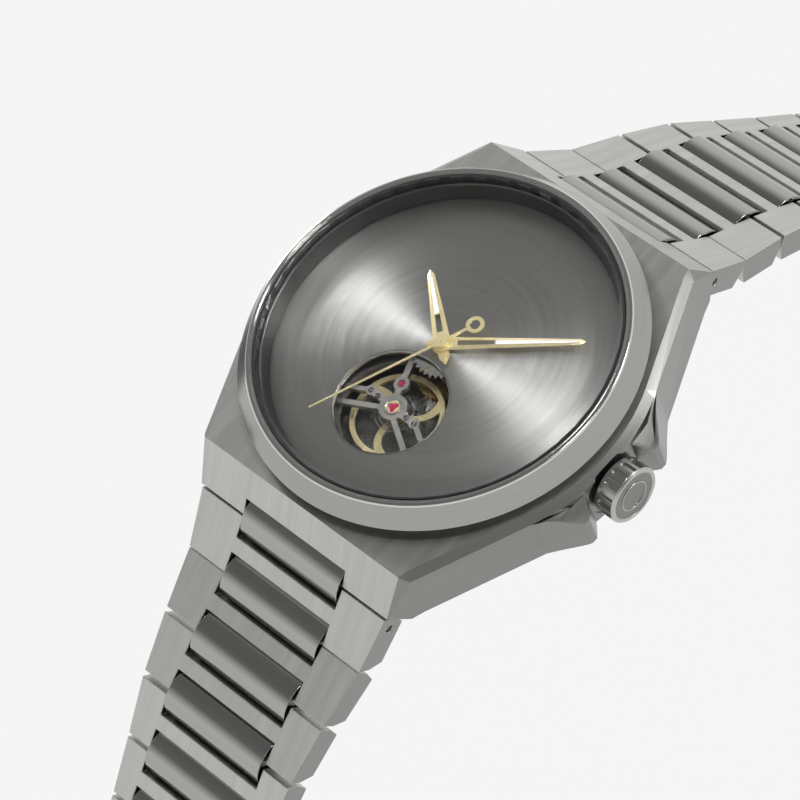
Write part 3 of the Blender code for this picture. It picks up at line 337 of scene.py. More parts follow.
def finish(target, name, body, materials, edge=0.0, segments=2, angle=30.0, place=None, pick=None):
    """Names a solid, scales it to metres, softens its edges, and gives it materials and a body."""
    target.name = name
    target.data.name = name
    target.data.transform(Matrix.Scale(MM, 4))
    target.data.materials.clear()
    for material in materials:
        target.data.materials.append(material)
    if pick is not None:
        for face in target.data.polygons:
            face.material_index = pick(face)
    if edge > 0.0:
        bevel = target.modifiers.new("edge", "BEVEL")
        bevel.width = edge * MM
        bevel.segments = segments
        bevel.limit_method = "ANGLE"
        bevel.angle_limit = math.radians(angle)
        bevel.harden_normals = True
    target.data.shade_smooth()
    target.data.set_sharp_from_angle(angle=math.radians(40.0))
    if place is not None:
        target.matrix_world = place
    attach(target, body)
    return target


def socket(group, name, kind, way, value=None):
    made = group.interface.new_socket(name=name, in_out=way, socket_type=kind)
    if value is not None:
        made.default_value = value
    return made


def calculate(tree, operation, *inputs):
    """The output of a math node whose inputs are given as numbers or as sockets."""
    node = tree.nodes.new("ShaderNodeMath")
    node.operation = operation
    for entry, given in zip(node.inputs, inputs):
        if isinstance(given, float):
            entry.default_value = given
        else:
            tree.links.new(given, entry)
    return node.outputs[0]


def noise_height(tree, vector, scale, detail):
    noise = tree.nodes.new("ShaderNodeTexNoise")
    noise.inputs["Scale"].default_value = scale
    noise.inputs["Detail"].default_value = detail
    tree.links.new(vector, noise.inputs["Vector"])
    return noise.outputs["Fac"]


def grain_group():
    """Fine lines drawn out along one way of the given vector, as colour, roughness and height."""
    group = bpy.data.node_groups.new("drawn_grain", "ShaderNodeTree")
    socket(group, "Vector", "NodeSocketVector", "INPUT")
    socket(group, "Color", "NodeSocketColor", "INPUT", (0.5, 0.5, 0.5, 1.0))
    socket(group, "Contrast", "NodeSocketFloat", "INPUT", 0.1)
    socket(group, "Roughness", "NodeSocketFloat", "INPUT", 0.3)
    socket(group, "Spread", "NodeSocketFloat", "INPUT", 0.08)
    socket(group, "Color", "NodeSocketColor", "OUTPUT")
    socket(group, "Roughness", "NodeSocketFloat", "OUTPUT")
    socket(group, "Height", "NodeSocketFloat", "OUTPUT")
    given = group.nodes.new("NodeGroupInput").outputs
    result = group.nodes.new("NodeGroupOutput").inputs
    fine = noise_height(group, given["Vector"], 1.0, 4.0)
    coarse = noise_height(group, given["Vector"], 0.22, 1.0)
    both = calculate(group, "ADD", fine, coarse)
    centred = calculate(group, "SUBTRACT", both, 1.0)
    tone = calculate(group, "MULTIPLY_ADD", centred, given["Contrast"], 1.0)
    tinted = group.nodes.new("ShaderNodeVectorMath")
    tinted.operation = "SCALE"
    group.links.new(given["Color"], tinted.inputs[0])
    group.links.new(tone, tinted.inputs["Scale"])
    group.links.new(tinted.outputs[0], result["Color"])
    rough = calculate(group, "MULTIPLY_ADD", centred, given["Spread"], given["Roughness"])
    group.links.new(rough, result["Roughness"])
    group.links.new(fine, result["Height"])
    return group


DRAWN_GRAIN = grain_group()


def drawn_metal(name, color, roughness, scale, contrast=0.22, spread=0.1, bump=0.12, circular=False):
    """Brushed metal: scale gives the lines' frequency per metre along each of the piece's axes.

    Circular brushing takes the distance from the Z axis in place of X, and the heading in place of Y.
    """
    made, nodes, shader = new_material(name, color, roughness, 1.0)
    place = nodes.new("ShaderNodeTexCoord")
    source = place.outputs["Object"]
    if circular:
        parts = nodes.new("ShaderNodeSeparateXYZ")
        link_nodes(made, source, parts.inputs[0])
        flat = nodes.new("ShaderNodeCombineXYZ")
        link_nodes(made, parts.outputs["X"], flat.inputs["X"])
        link_nodes(made, parts.outputs["Y"], flat.inputs["Y"])
        length = nodes.new("ShaderNodeVectorMath")
        length.operation = "LENGTH"
        link_nodes(made, flat.outputs[0], length.inputs[0])
        heading = nodes.new("ShaderNodeVectorMath")
        heading.operation = "NORMALIZE"
        link_nodes(made, flat.outputs[0], heading.inputs[0])
        heading_parts = nodes.new("ShaderNodeSeparateXYZ")
        link_nodes(made, heading.outputs[0], heading_parts.inputs[0])
        polar = nodes.new("ShaderNodeCombineXYZ")
        link_nodes(made, length.outputs["Value"], polar.inputs["X"])
        link_nodes(made, heading_parts.outputs["X"], polar.inputs["Y"])
        link_nodes(made, heading_parts.outputs["Y"], polar.inputs["Z"])
        source = polar.outputs[0]
    mapping = nodes.new("ShaderNodeMapping")
    mapping.inputs["Scale"].default_value = scale
    link_nodes(made, source, mapping.inputs["Vector"])
    grain = nodes.new("ShaderNodeGroup")
    grain.node_tree = DRAWN_GRAIN
    grain.inputs["Color"].default_value = (*color, 1.0)
    for key, value in (("Contrast", contrast), ("Roughness", roughness), ("Spread", spread)):
        grain.inputs[key].default_value = value
    link_nodes(made, mapping.outputs[0], grain.inputs["Vector"])
    link_nodes(made, grain.outputs["Color"], shader.inputs["Base Color"])
    link_nodes(made, grain.outputs["Roughness"], shader.inputs["Roughness"])
    relief = nodes.new("ShaderNodeBump")
    relief.inputs["Strength"].default_value = bump
    relief.inputs["Distance"].default_value = 0.02 * MM
    link_nodes(made, grain.outputs["Height"], relief.inputs["Height"])
    link_nodes(made, relief.outputs["Normal"], shader.inputs["Normal"])
    return made


case_top = drawn_metal("case_top_brushed", (0.5, 0.496, 0.48), 0.42, (5200.0, 140.0, 5200.0), 0.14)
case_end = drawn_metal("case_end_brushed", (0.52, 0.517, 0.498), 0.42, (5200.0, 160.0, 160.0), 0.26)
# The flanks take a darker copy of the case steel's colour: painted shade on faces turned away from the top.
flank_shaded_metal = drawn_metal("case_flank_painted_shade", (0.25, 0.248, 0.24), 0.3, (150.0, 150.0, 5200.0), 0.14)


def case_planform(inset):
    """The case from above: straight lug lines into an arc round 3 and 9 o'clock."""
    corner_angle = math.degrees(math.atan2(CORNER[1], CORNER[0]))
    half_span = math.degrees(math.acos(CASE_RADIUS / math.hypot(*CORNER)))
    tangent = corner_angle - half_span
    reach = CASE_RADIUS * math.tan(math.radians(half_span)) - inset * 0.4
    radius = CASE_RADIUS - inset
    start = point_at(radius, tangent)
    along = point_at(reach, tangent + 90.0)
    shoulder = (start[0] + along[0], start[1] + along[1])
    end = (END_HALF_WIDTH - 0.5 - inset * 0.5, SEAM[0] + 0.3)
    right = [end, shoulder] + arc(radius, tangent, -tangent, 40)
    right += [(shoulder[0], -shoulder[1]), (end[0], -end[1])]
    return right + [(-x, y) for x, y in reversed(right)]


def add_guard(bm, side):
    """The horn beside the crown: its top falls from the shoulder to a blunt tip."""
    top = high("middle_case").z - SHOULDER_DROP
    root = [(CASE_RADIUS - 3.5, 3.3), (CASE_RADIUS - 0.2, 3.3)]
    tip_low = GUARD_TIP[1] - GUARD_TIP_WIDTH / 2.0
    tip_high = GUARD_TIP[1] + GUARD_TIP_WIDTH / 2.0
    outline = root + [(GUARD_TIP[0] - 0.25, tip_low - 0.1), (GUARD_TIP[0], tip_low + 0.2)]
    outline += [(GUARD_TIP[0], tip_high - 0.2), (GUARD_TIP[0] - 0.2, tip_high + 0.15)]
    hollow = [(GUARD_TIP[0], tip_high), (CASE_RADIUS - 1.05, GUARD_ROOT_Y - 1.7)]
    hollow.append((CASE_RADIUS - 2.3, GUARD_ROOT_Y))
    for step in range(1, 7):
        share = step / 6.0
        keep = (1.0 - share) ** 2
        pull = 2.0 * share * (1.0 - share)
        x = hollow[0][0] * keep + hollow[1][0] * pull + hollow[2][0] * share**2
        y = hollow[0][1] * keep + hollow[1][1] * pull + hollow[2][1] * share**2
        outline.append((x, y))
    outline.append((CASE_RADIUS - 4.5, GUARD_ROOT_Y))
    loops = [[], [], []]
    for x, y in outline:
        share = max(0.0, (x - CASE_RADIUS + 1.0) / (GUARD_TIP[0] - CASE_RADIUS + 1.0))
        edge = top - share**1.4 * (top - 5.3)
        loops[0].append((x, side * y, 1.4))
        loops[1].append((x, side * y, edge - 0.35 * share))
        inward = 0.35 * share
        loops[2].append((x - inward, side * y, edge))
    add_loft(bm, loops)


case_low = low("middle_case").z
case_high = high("middle_case").z
shoulder_z = case_high - SHOULDER_DROP
outer_loop = case_planform(0.0)
inner_loop = case_planform(SHOULDER_WIDTH)
foot_loop = case_planform(0.35)
case = solid(
    add_loft,
    [
        [(x, y, case_low) for x, y in foot_loop],
        [(x, y, case_low + 0.35) for x, y in outer_loop],
        [(x, y, shoulder_z) for x, y in outer_loop],
        [(x, y, case_high) for x, y in inner_loop],
    ],
)
for side in (1.0, -1.0):
    slope = math.radians(END_ANGLE)
    slice_off(case, (0.0, side * END_Y, case_high), (0.0, side * math.sin(slope), math.cos(slope)))
    link_slope = math.radians(FIRST_LINK_ANGLE)
    bearing = (0.0, side * math.cos(link_slope), -math.sin(link_slope))
    slice_off(case, (0.0, side * (SEAM[0] - LINK_GAP / 2.0), SEAM[1]), bearing)
    for hand in (1.0, -1.0):
        top_corner = Vector((hand * END_HALF_WIDTH, side * END_Y, case_high))
        outside = Vector((hand * CORNER[0], side * CORNER[1], shoulder_z))
        bottom = Vector((hand * (BRACELET_HALF_WIDTH + 0.15), side * SEAM[0], SEAM[1]))
        normal = (outside - top_corner).cross(bottom - top_corner)
        if normal.x * hand < 0.0:
            normal.negate()
        slice_off(case, top_corner, normal)
fuse(case, solid(add_guard, 1.0), solid(add_guard, -1.0))
BARREL_NOTCH_RADIUS = 2.5
BARREL_NOTCH_HALF = 6.8
first_hinge = (SEAM[0] - 1.5 * math.sin(link_slope), SEAM[1] - 1.5 * math.cos(link_slope))
for side in (1.0, -1.0):
    outline = arc(BARREL_NOTCH_RADIUS, 95.0, 325.0, 24, first_hinge)
    outline += [(first_hinge[0] + 6.0, first_hinge[1] - 4.0), (first_hinge[0] + 6.0, first_hinge[1] + 8.0)]
    cut(case, solid(add_strip, [(side * y, z) for y, z in outline], BARREL_NOTCH_HALF))
bore = solid(add_disc, BORE_RADIUS, -1.0, case_high + 1.0, 120)
seat = solid(add_disc, BACK_SEAT[0], -1.0, BACK_SEAT[1], 120)
pocket = solid(add_disc, 3.35, 20.9, 27.0, 48)
tube_hole = solid(add_disc, 1.23, 0.0, 26.0, 24)
cut(case, bore, seat, along_x(pocket, CROWN_Z), along_x(tube_hole, CROWN_Z))


def case_face(face):
    """0 for the flat top, 1 for the sloping ends, 2 for flanks and the inside, which take the darker copy
    of the steel as painted shade.
    """
    if face.normal.z > 0.95:
        return 0
    across = abs(face.normal.x)
    if face.normal.z > 0.35 and across < 0.12:
        return 1
    return 2


case_metals = [case_top, case_end, flank_shaded_metal]
finish(case, "case_body", "case", case_metals, CASE_EDGE, 3, 25.0, pick=case_face)
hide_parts("middle_case")

# ---------------------------------------------------------------- bezel, crystal and inner ring
# The bezel is a turned cone pressed over a narrower neck, whose steel is given a darker colour than the
# bezel's as painted shade under the cone's overhang. The flat crystal sits in its gasket a touch above the
# rim, and a satin ring slopes from it down to the dial.

NECK_RADIUS = 19.4
BEZEL_FOOT_Z = 8.95
SEAT_RADIUS = 18.23
CRYSTAL_EDGE = 0.3


def turned_metal(name, color, roughness, scale, across, contrast=0.08, spread=0.05, bump=0.03):
    """Metal brushed in circles round the watch's middle."""
    return drawn_metal(name, color, roughness, (scale, across, across), contrast, spread, bump, True)


bezel_metal = turned_metal("bezel_satin", (0.36, 0.357, 0.343), 0.22, 9000.0, 5.0)
# The neck's darker steel colour is painted shade under the bezel's overhang.
neck_shaded_metal = turned_metal("neck_painted_shade", (0.2, 0.199, 0.193), 0.35, 7000.0, 9.0, 0.1)
# The rim round the crystal is polished, and its lighter colour than the bezel's steel is a painted
# highlight along the rounded edge.
rim_highlight_metal = turned_metal("rim_painted_highlight", (0.6, 0.597, 0.58), 0.12, 9000.0, 5.0, 0.04, 0.03, 0.01)
rehaut_metal = turned_metal("inner_ring_satin", (0.1, 0.0995, 0.097), 0.3, 8000.0, 6.0)

bezel_low = low("bezel")
bezel_high = high("bezel")
foot_radius = bezel_high.x
ledge_z = low("crystal").z - 0.03
cone_top = (19.0, bezel_high.z - 0.22)
cone = solid(
    add_turned,
    [
        (NECK_RADIUS - 0.6, BEZEL_FOOT_Z - 0.02),
        (foot_radius - 0.08, BEZEL_FOOT_Z),
        (foot_radius, BEZEL_FOOT_Z + 0.12),
        cone_top,
        (cone_top[0] - 0.12, bezel_high.z - 0.04),
        (18.72, bezel_high.z),
        (18.5, bezel_high.z),
        (18.44, bezel_high.z - 0.12),
        (SEAT_RADIUS, bezel_high.z - 0.12),
        (SEAT_RADIUS, ledge_z),
        (18.0, ledge_z),
        (18.0, BEZEL_FOOT_Z - 0.02),
    ],
    256,
)


def bezel_face(face):
    """0 for the cone, 1 for the polished rim round the crystal, whose lighter colour is a painted
    highlight.
    """
    radius = math.hypot(face.center.x, face.center.y)
    return 1 if radius < 18.95 * MM and face.center.z > bezel_high.z * MM - 0.5 * MM else 0


def add_band(bm, inner, outer, bottom, top, facets, center=(0.0, 0.0)):
    """A flat-sided ring."""
    profile = [(inner, bottom), (outer, bottom), (outer, top), (inner, top)]
    add_turned(bm, profile, facets, center)


cone_metals = [bezel_metal, rim_highlight_metal]
finish(cone, "bezel_cone", "case", cone_metals, 0.05, 2, 20.0, pick=bezel_face)
neck = solid(add_band, 18.0, NECK_RADIUS, bezel_low.z, BEZEL_FOOT_Z - 0.02, 192)
finish(neck, "bezel_neck", "case", [neck_shaded_metal])
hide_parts("bezel")
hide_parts("bezel")

glass_clear, nodes, shader = new_material("crystal_clear", (1.0, 1.0, 1.0), 0.0, 0.0)
shader.inputs["Transmission Weight"].default_value = 1.0
shader.inputs["IOR"].default_value = 1.08
shader.inputs["Coat Weight"].default_value = 0.25
shader.inputs["Coat Roughness"].default_value = 0.0
light_path = nodes.new("ShaderNodeLightPath")
let_through = calculate(glass_clear.node_tree, "SUBTRACT", 1.0, light_path.outputs["Is Shadow Ray"])
link_nodes(glass_clear, let_through, shader.inputs["Alpha"])
mottle(glass_clear, 60.0, 0.0, 0.015, "Roughness")

crystal_low = low("crystal")
crystal_high = high("crystal")
crystal = solid(
    add_turned,
    [
        (0.0, crystal_low.z),
        (crystal_high.x, crystal_low.z),
        (crystal_high.x, crystal_high.z - CRYSTAL_EDGE),
        (crystal_high.x - CRYSTAL_EDGE, crystal_high.z),
        (0.0, crystal_high.z),
    ],
    192,
)
finish(crystal, "crystal_disc", "case", [glass_clear], 0.04)
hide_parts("crystal")

gasket_rubber = new_material("gasket_rubber", (0.02, 0.02, 0.02), 0.45, 0.0)[0]
mottle(gasket_rubber, 900.0, 0.35, 0.6, "Roughness")


def dress(node, material):
    """Gives a carried-over node its material."""
    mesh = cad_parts[node].data
    mesh.materials.clear()
    mesh.materials.append(material)


for name in ("crystal_gasket", "case_back_gasket"):
    dress(name, gasket_rubber)

rehaut_low = low("rehaut_ring")
rehaut_high = high("rehaut_ring")
profile = [(17.17, rehaut_low.z), (rehaut_high.x, rehaut_low.z), (rehaut_high.x, rehaut_high.z)]
profile += [(17.72, rehaut_high.z), (17.6, rehaut_high.z - 0.12)]
rehaut = solid(add_turned, profile, 192)
finish(rehaut, "inner_ring", "case", [rehaut_metal], 0.03)
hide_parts("rehaut_ring")

# ---------------------------------------------------------------- dial
# A thin metal disc brushed in circles, with its edge rolled down like a dish. A polished ring
# lines the round window at 6 o'clock.

WINDOW_RADIUS = 5.83
WINDOW_Y = -7.47
ROLL_WIDTH = 3.0

dial_metal = turned_metal("dial_circular", (0.43, 0.427, 0.413), 0.34, 9000.0, 3.0, 0.24, 0.1, 0.1)
dial_shader = dial_metal.node_tree.nodes["Principled BSDF"]
dial_shader.inputs["Anisotropic"].default_value = 0.85
dial_shader.inputs["Anisotropic Rotation"].default_value = 0.25
lay = dial_metal.node_tree.nodes.new("ShaderNodeTangent")
lay.direction_type = "RADIAL"
lay.axis = "Z"
link_nodes(dial_metal, lay.outputs["Tangent"], dial_shader.inputs["Tangent"])

dial_low = low("dial")
dial_high = high("dial")
rim_z = dial_high.z - 0.25
profile = [(0.8, dial_low.z), (dial_high.x, dial_low.z), (dial_high.x, rim_z - 0.12)]
for step in range(13):
    share = step / 12.0
    radius = 17.25 - ROLL_WIDTH * share
    profile.append((radius, rim_z - 0.1 + 0.35 * math.sin(math.radians(90.0 * share))))
profile.append((0.8, dial_high.z))
dial = solid(add_turned, profile, 192)
cut(dial, solid(add_disc, WINDOW_RADIUS, 0.0, 12.0, 96, (0.0, WINDOW_Y)))
finish(dial, "dial_disc", "case", [dial_metal])
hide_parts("dial")

inner = WINDOW_RADIUS - 0.24
outer = WINDOW_RADIUS - 0.02
crest = dial_high.z + 0.03
profile = [(inner, dial_low.z + 0.02), (outer, dial_low.z + 0.02), (outer, crest)]
profile += [(WINDOW_RADIUS - 0.1, crest), (inner, dial_high.z - 0.12)]
window_ring = solid(add_turned, profile, 128, (0.0, WINDOW_Y))
finish(window_ring, "window_ring", "case", [bezel_metal], 0.02)

# ---------------------------------------------------------------- movement behind the window
# The main plate and the train bridge are dark coated brass with circular graining. The wheels
# are brass, the hour wheel, lever and escape wheel are steel.

plate_dark, nodes, shader = new_material("plate_grained", (0.3, 0.3, 0.31), 0.42, 1.0)
place = nodes.new("ShaderNodeTexCoord")
spots = nodes.new("ShaderNodeTexVoronoi")
spots.inputs["Scale"].default_value = 1100.0
spots.inputs["Randomness"].default_value = 0.25
link_nodes(plate_dark, place.outputs["Object"], spots.inputs["Vector"])
swirl = calculate(plate_dark.node_tree, "MULTIPLY", spots.outputs["Distance"], 42.0)
wave = calculate(plate_dark.node_tree, "SINE", swirl)
plate_tone = nodes.new("ShaderNodeMapRange")
plate_tone.inputs["From Min"].default_value = -1.0
plate_tone.inputs["To Min"].default_value = 0.2
plate_tone.inputs["To Max"].default_value = 0.38
link_nodes(plate_dark, wave, plate_tone.inputs["Value"])
link_nodes(plate_dark, plate_tone.outputs["Result"], shader.inputs["Base Color"])
plate_relief = nodes.new("ShaderNodeBump")
plate_relief.inputs["Strength"].default_value = 0.4
plate_relief.inputs["Distance"].default_value = 0.02 * MM
link_nodes(plate_dark, wave, plate_relief.inputs["Height"])
link_nodes(plate_dark, plate_relief.outputs["Normal"], shader.inputs["Normal"])

wheel_brass = drawn_metal("wheel_brass", (0.75, 0.58, 0.28), 0.28, (4000.0, 4000.0, 4000.0), 0.2)
fine_steel = drawn_metal("fine_steel", (0.72, 0.72, 0.71), 0.16, (3500.0, 3500.0, 900.0), 0.12, 0.06, 0.05)
dark_steel = drawn_metal("dark_steel", (0.3, 0.3, 0.31), 0.25, (3500.0, 3500.0, 900.0), 0.2)
holder_coat = new_material("holder_coat", (0.1, 0.1, 0.1), 0.5, 0.0)[0]
mottle(holder_coat, 1500.0, 0.4, 0.65, "Roughness")

for name in ("main_plate", "train_bridge"):
    dress(name, plate_dark)
for name in ("mainspring_barrel", "center_wheel", "third_wheel", "fourth_wheel", "minute_wheel"):
    dress(name, wheel_brass)
for name in ("escape_wheel", "hour_wheel", "pallet_fork", "winding_stem", "crown_tube", "hairspring"):
    dress(name, fine_steel)
dress("movement_ring", holder_coat)

# ---------------------------------------------------------------- balance bridge and jewels
# The three-armed bridge is steel, brushed on top, with its edges bevelled. Two of its arms are
# split by a slot. It carries the balance jewel in a gold shock spring, and a second jewel.

BRIDGE_EDGE = 0.07
JEWEL_PLACE = (-1.13, 2.41)
JEWEL_DOME = 0.12

bridge_metal = drawn_metal("bridge_brushed", (0.5, 0.49, 0.46), 0.34, (5200.0, 300.0, 300.0), 0.25)
gold_metal = drawn_metal("gold_polished", (1.0, 0.87, 0.5), 0.26, (2500.0, 2500.0, 900.0), 0.08, 0.05, 0.04)
gold_metal.node_tree.nodes["Principled BSDF"].inputs["Metallic"].default_value = 0.75

ruby, nodes, shader = new_material("ruby_clear", (0.62, 0.02, 0.14), 0.04, 0.0)
shader.inputs["Coat Weight"].default_value = 0.6
ruby_cloud = nodes.new("ShaderNodeTexNoise")
ruby_cloud.inputs["Scale"].default_value = 1400.0
ruby_tone = nodes.new("ShaderNodeValToRGB")
ruby_tone.color_ramp.elements[0].color = (0.2, 0.0, 0.025, 1.0)
ruby_tone.color_ramp.elements[1].color = (0.5, 0.025, 0.11, 1.0)
link_nodes(ruby, ruby_cloud.outputs["Fac"], ruby_tone.inputs["Fac"])
link_nodes(ruby, ruby_tone.outputs["Color"], shader.inputs["Base Color"])


def over_balance(x, y):
    return x, WINDOW_Y + y


def add_bar(bm, start, end, width, bottom, top, end_width=None):
    """A straight flat arm, which may taper."""
    a = Vector(start)
    b = Vector(end)
    side = (b - a).normalized().orthogonal()
    near = side * (width / 2.0)
    far = side * ((end_width or width) / 2.0)
    outline = [tuple(point) for point in (a + near, b + far, b - far, a - near)]
    add_plate(bm, outline, bottom, top)


BALANCE_CENTER = over_balance(0.0, 0.0)
bridge_low = low("balance_bridge").z
bridge_high = high("balance_bridge").z
bridge = solid(add_disc, 1.42, bridge_low, bridge_high, 48, BALANCE_CENTER)
levels = (bridge_low, bridge_high)
arms = [
    ((-0.6, -0.5), (-5.25, -2.65), 0.55),
    ((-0.6, 0.1), (-3.12, 0.16), 0.75),
    ((-3.0, 0.2), (-5.7, -0.95), 0.5),
    ((0.5, -0.7), (4.95, -3.35), 0.55),
    ((0.6, -0.1), (3.01, -0.16), 0.75),
    ((2.9, -0.1), (5.7, -1.6), 0.5),
    ((-0.5, 0.8), (-2.25, 5.35), 0.62),
]
pieces = [solid(add_bar, over_balance(*a), over_balance(*b), width, *levels) for a, b, width in arms]
for x, y, radius in ((-3.12, 0.16, 0.55), (3.01, -0.16, 0.55), (*JEWEL_PLACE, 0.78)):
    pieces.append(solid(add_disc, radius, *levels, 32, over_balance(x, y)))
fuse(bridge, *pieces)
cut(
    bridge,
    solid(add_disc, 0.92, 0.0, 12.0, 48, BALANCE_CENTER),
    solid(add_disc, 0.5, 0.0, 12.0, 32, over_balance(*JEWEL_PLACE)),
)
finish(bridge, "bridge_arms", "case", [bridge_metal], BRIDGE_EDGE, 2, 35.0)
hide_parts("balance_bridge")


def add_setting(bm, radius, bore, bottom, top, center):
    """A turned jewel setting with a sloping mouth."""
    profile = [(bore, bottom), (radius, bottom), (radius, top), (radius - 0.12, top), (bore, top - 0.14)]
    add_turned(bm, profile, 48, center)


setting = solid(add_setting, 0.9, 0.62, bridge_low + 0.05, bridge_high + 0.06, BALANCE_CENTER)
finish(setting, "balance_setting", "case", [fine_steel], 0.02)
jewel_center = over_balance(*JEWEL_PLACE)
setting = solid(add_setting, 0.49, 0.33, bridge_low + 0.05, bridge_high + 0.05, jewel_center)
finish(setting, "second_setting", "case", [fine_steel], 0.02)


def add_jewel(bm, radius, bottom, top, center):
    """A jewel with a domed top."""
    profile = [(0.0, bottom), (radius, bottom)]
    for angle in (0.0, 30.0, 60.0):
        turn = math.radians(angle)
        profile.append((radius * math.cos(turn), top - JEWEL_DOME + JEWEL_DOME * math.sin(turn)))
    add_turned(bm, profile + [(0.0, top)], 32, center)


jewel = solid(add_jewel, 0.62, bridge_low + 0.08, bridge_high - 0.02, BALANCE_CENTER)
finish(jewel, "balance_ruby", "case", [ruby])
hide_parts("balance_jewel")
jewel = solid(add_jewel, 0.34, bridge_low + 0.08, bridge_high - 0.04, jewel_center)
finish(jewel, "second_ruby", "case", [ruby])


def add_frame(bm, outer, inner, bottom, edge_z, ridge_z):
    """A flat frame between two outlines of equally many points, its top falling to the outside."""
    rows = []
    for outline, z in ((outer, bottom), (outer, edge_z), (inner, ridge_z), (inner, bottom)):
        rows.append([bm.verts.new((x, y, z)) for x, y in outline])
    count = len(outer)
    for first, second in zip(rows, rows[1:] + rows[:1]):
        for index in range(count):
            after = (index + 1) % count
            bm.faces.new((first[index], first[after], second[after], second[index]))


def add_shock_spring(bm, bottom, top):
    """The flat lyre spring that holds the balance jewel down: a ring with three inward loops."""
    count = 72
    outer = [over_balance(x, y) for x, y in arc(0.66, 0.0, 360.0, count)[:-1]]
    inner = []
    for step in range(count):
        angle = 360.0 * step / count
        reach = 0.46 - 0.12 * math.cos(math.radians(3.0 * angle))
        inner.append(over_balance(*point_at(reach, angle)))
    add_frame(bm, outer, inner, bottom, top, top)


spring = solid(add_shock_spring, bridge_high - 0.03, bridge_high + 0.03)
finish(spring, "shock_spring", "case", [gold_metal], 0.01)


def add_screw(bm, radius, bottom, top, center, slot_angle):
    """A slotted screw head, drawn as two halves with the slot between them."""
    gap = radius * 0.16
    floor_z = top - radius * 0.35
    add_disc(bm, radius, bottom, floor_z, 24, center)
    start = math.degrees(math.asin(gap / radius))
    for turn in (0.0, 180.0):
        half = arc(radius * 0.995, start + turn + slot_angle, 180.0 - start + turn + slot_angle, 12, center)
        add_plate(bm, half, floor_z - 0.001, top)


for index, (x, y) in enumerate(((-3.12, 0.16), (-2.09, 0.03), (1.91, -0.13), (3.01, -0.16))):
    screw = solid(add_screw, 0.3, bridge_low + 0.1, bridge_high + 0.05, over_balance(x, y), 35.0 * index)
    finish(screw, f"bridge_screw_{index + 1}", "case", [dark_steel], 0.015)

# ---------------------------------------------------------------- balance wheel
# The balance is gold coloured, with a rim in two curved arms that swell towards the hub, and it
# turns on a thin steel staff.

RIM_RADIUS = 4.72
RIM_WIDTH = 0.52
ARM_HEADINGS = (20.0, 140.0, 260.0)

balance_low = 5.75
balance_high = 6.15
rim = (RIM_RADIUS - RIM_WIDTH, RIM_RADIUS, balance_low, balance_high)
balance = solid(add_band, *rim, 128, BALANCE_CENTER)


def add_curved_arm(bm, heading, bottom, top):
    """One curved balance arm: broad where it meets the rim, narrow at the hub."""
    outline = []
    steps = 10
    for side in (1.0, -1.0):
        for step in range(steps + 1):
            share = step / steps if side > 0.0 else 1.0 - step / steps
            radius = 0.3 + (RIM_RADIUS - 0.3 - RIM_WIDTH * 0.5) * share
            spread = side * (0.3 + 0.42 * share**3) / radius
            swing = 34.0 * share**2
            outline.append(point_at(radius, heading + swing + math.degrees(spread)))
    add_plate(bm, [over_balance(x, y) for x, y in outline], bottom, top)


arms = [solid(add_curved_arm, heading, balance_low + 0.06, balance_high - 0.04) for heading in ARM_HEADINGS]
fuse(balance, solid(add_disc, 0.62, balance_low, balance_high, 32, BALANCE_CENTER), *arms)
finish(balance, "balance_rim", "balance", [gold_metal], 0.05, 2, 40.0)
staff_low = low("balance_wheel").z
staff_high = high("balance_wheel").z
profile = [(0.0, staff_low), (0.16, staff_low), (0.22, 4.0), (0.5, 4.86), (0.5, 5.04), (0.22, 5.1)]
profile += [(0.22, 6.4), (0.14, 6.9), (0.1, staff_high), (0.0, staff_high)]
staff = solid(add_turned, profile, 32, BALANCE_CENTER)
finish(staff, "balance_staff", "balance", [fine_steel])
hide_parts("balance_wheel")
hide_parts("balance_wheel")

# ---------------------------------------------------------------- hands
# The hour and minute hands are gold, folded along their edges, with a slot along the middle that
# is open near the hub and holds white lume further out. The seconds hand is a thin gold needle with
# an open ring as its counterweight.

LUME_FIT = 0.98
SECOND_HALF_WIDTHS = (0.15, 0.08)
SECOND_REACH = (-3.0, 14.0)
RING_PLACE = (0.0, -3.65)
HAND_ANGLES = (308.8, 54.6, 203.8)

lume_white = new_material("lume_white", (0.9, 0.92, 0.88), 0.6, 0.0)[0]
mottle(lume_white, 5000.0, 0.86, 0.96, "Base Color")


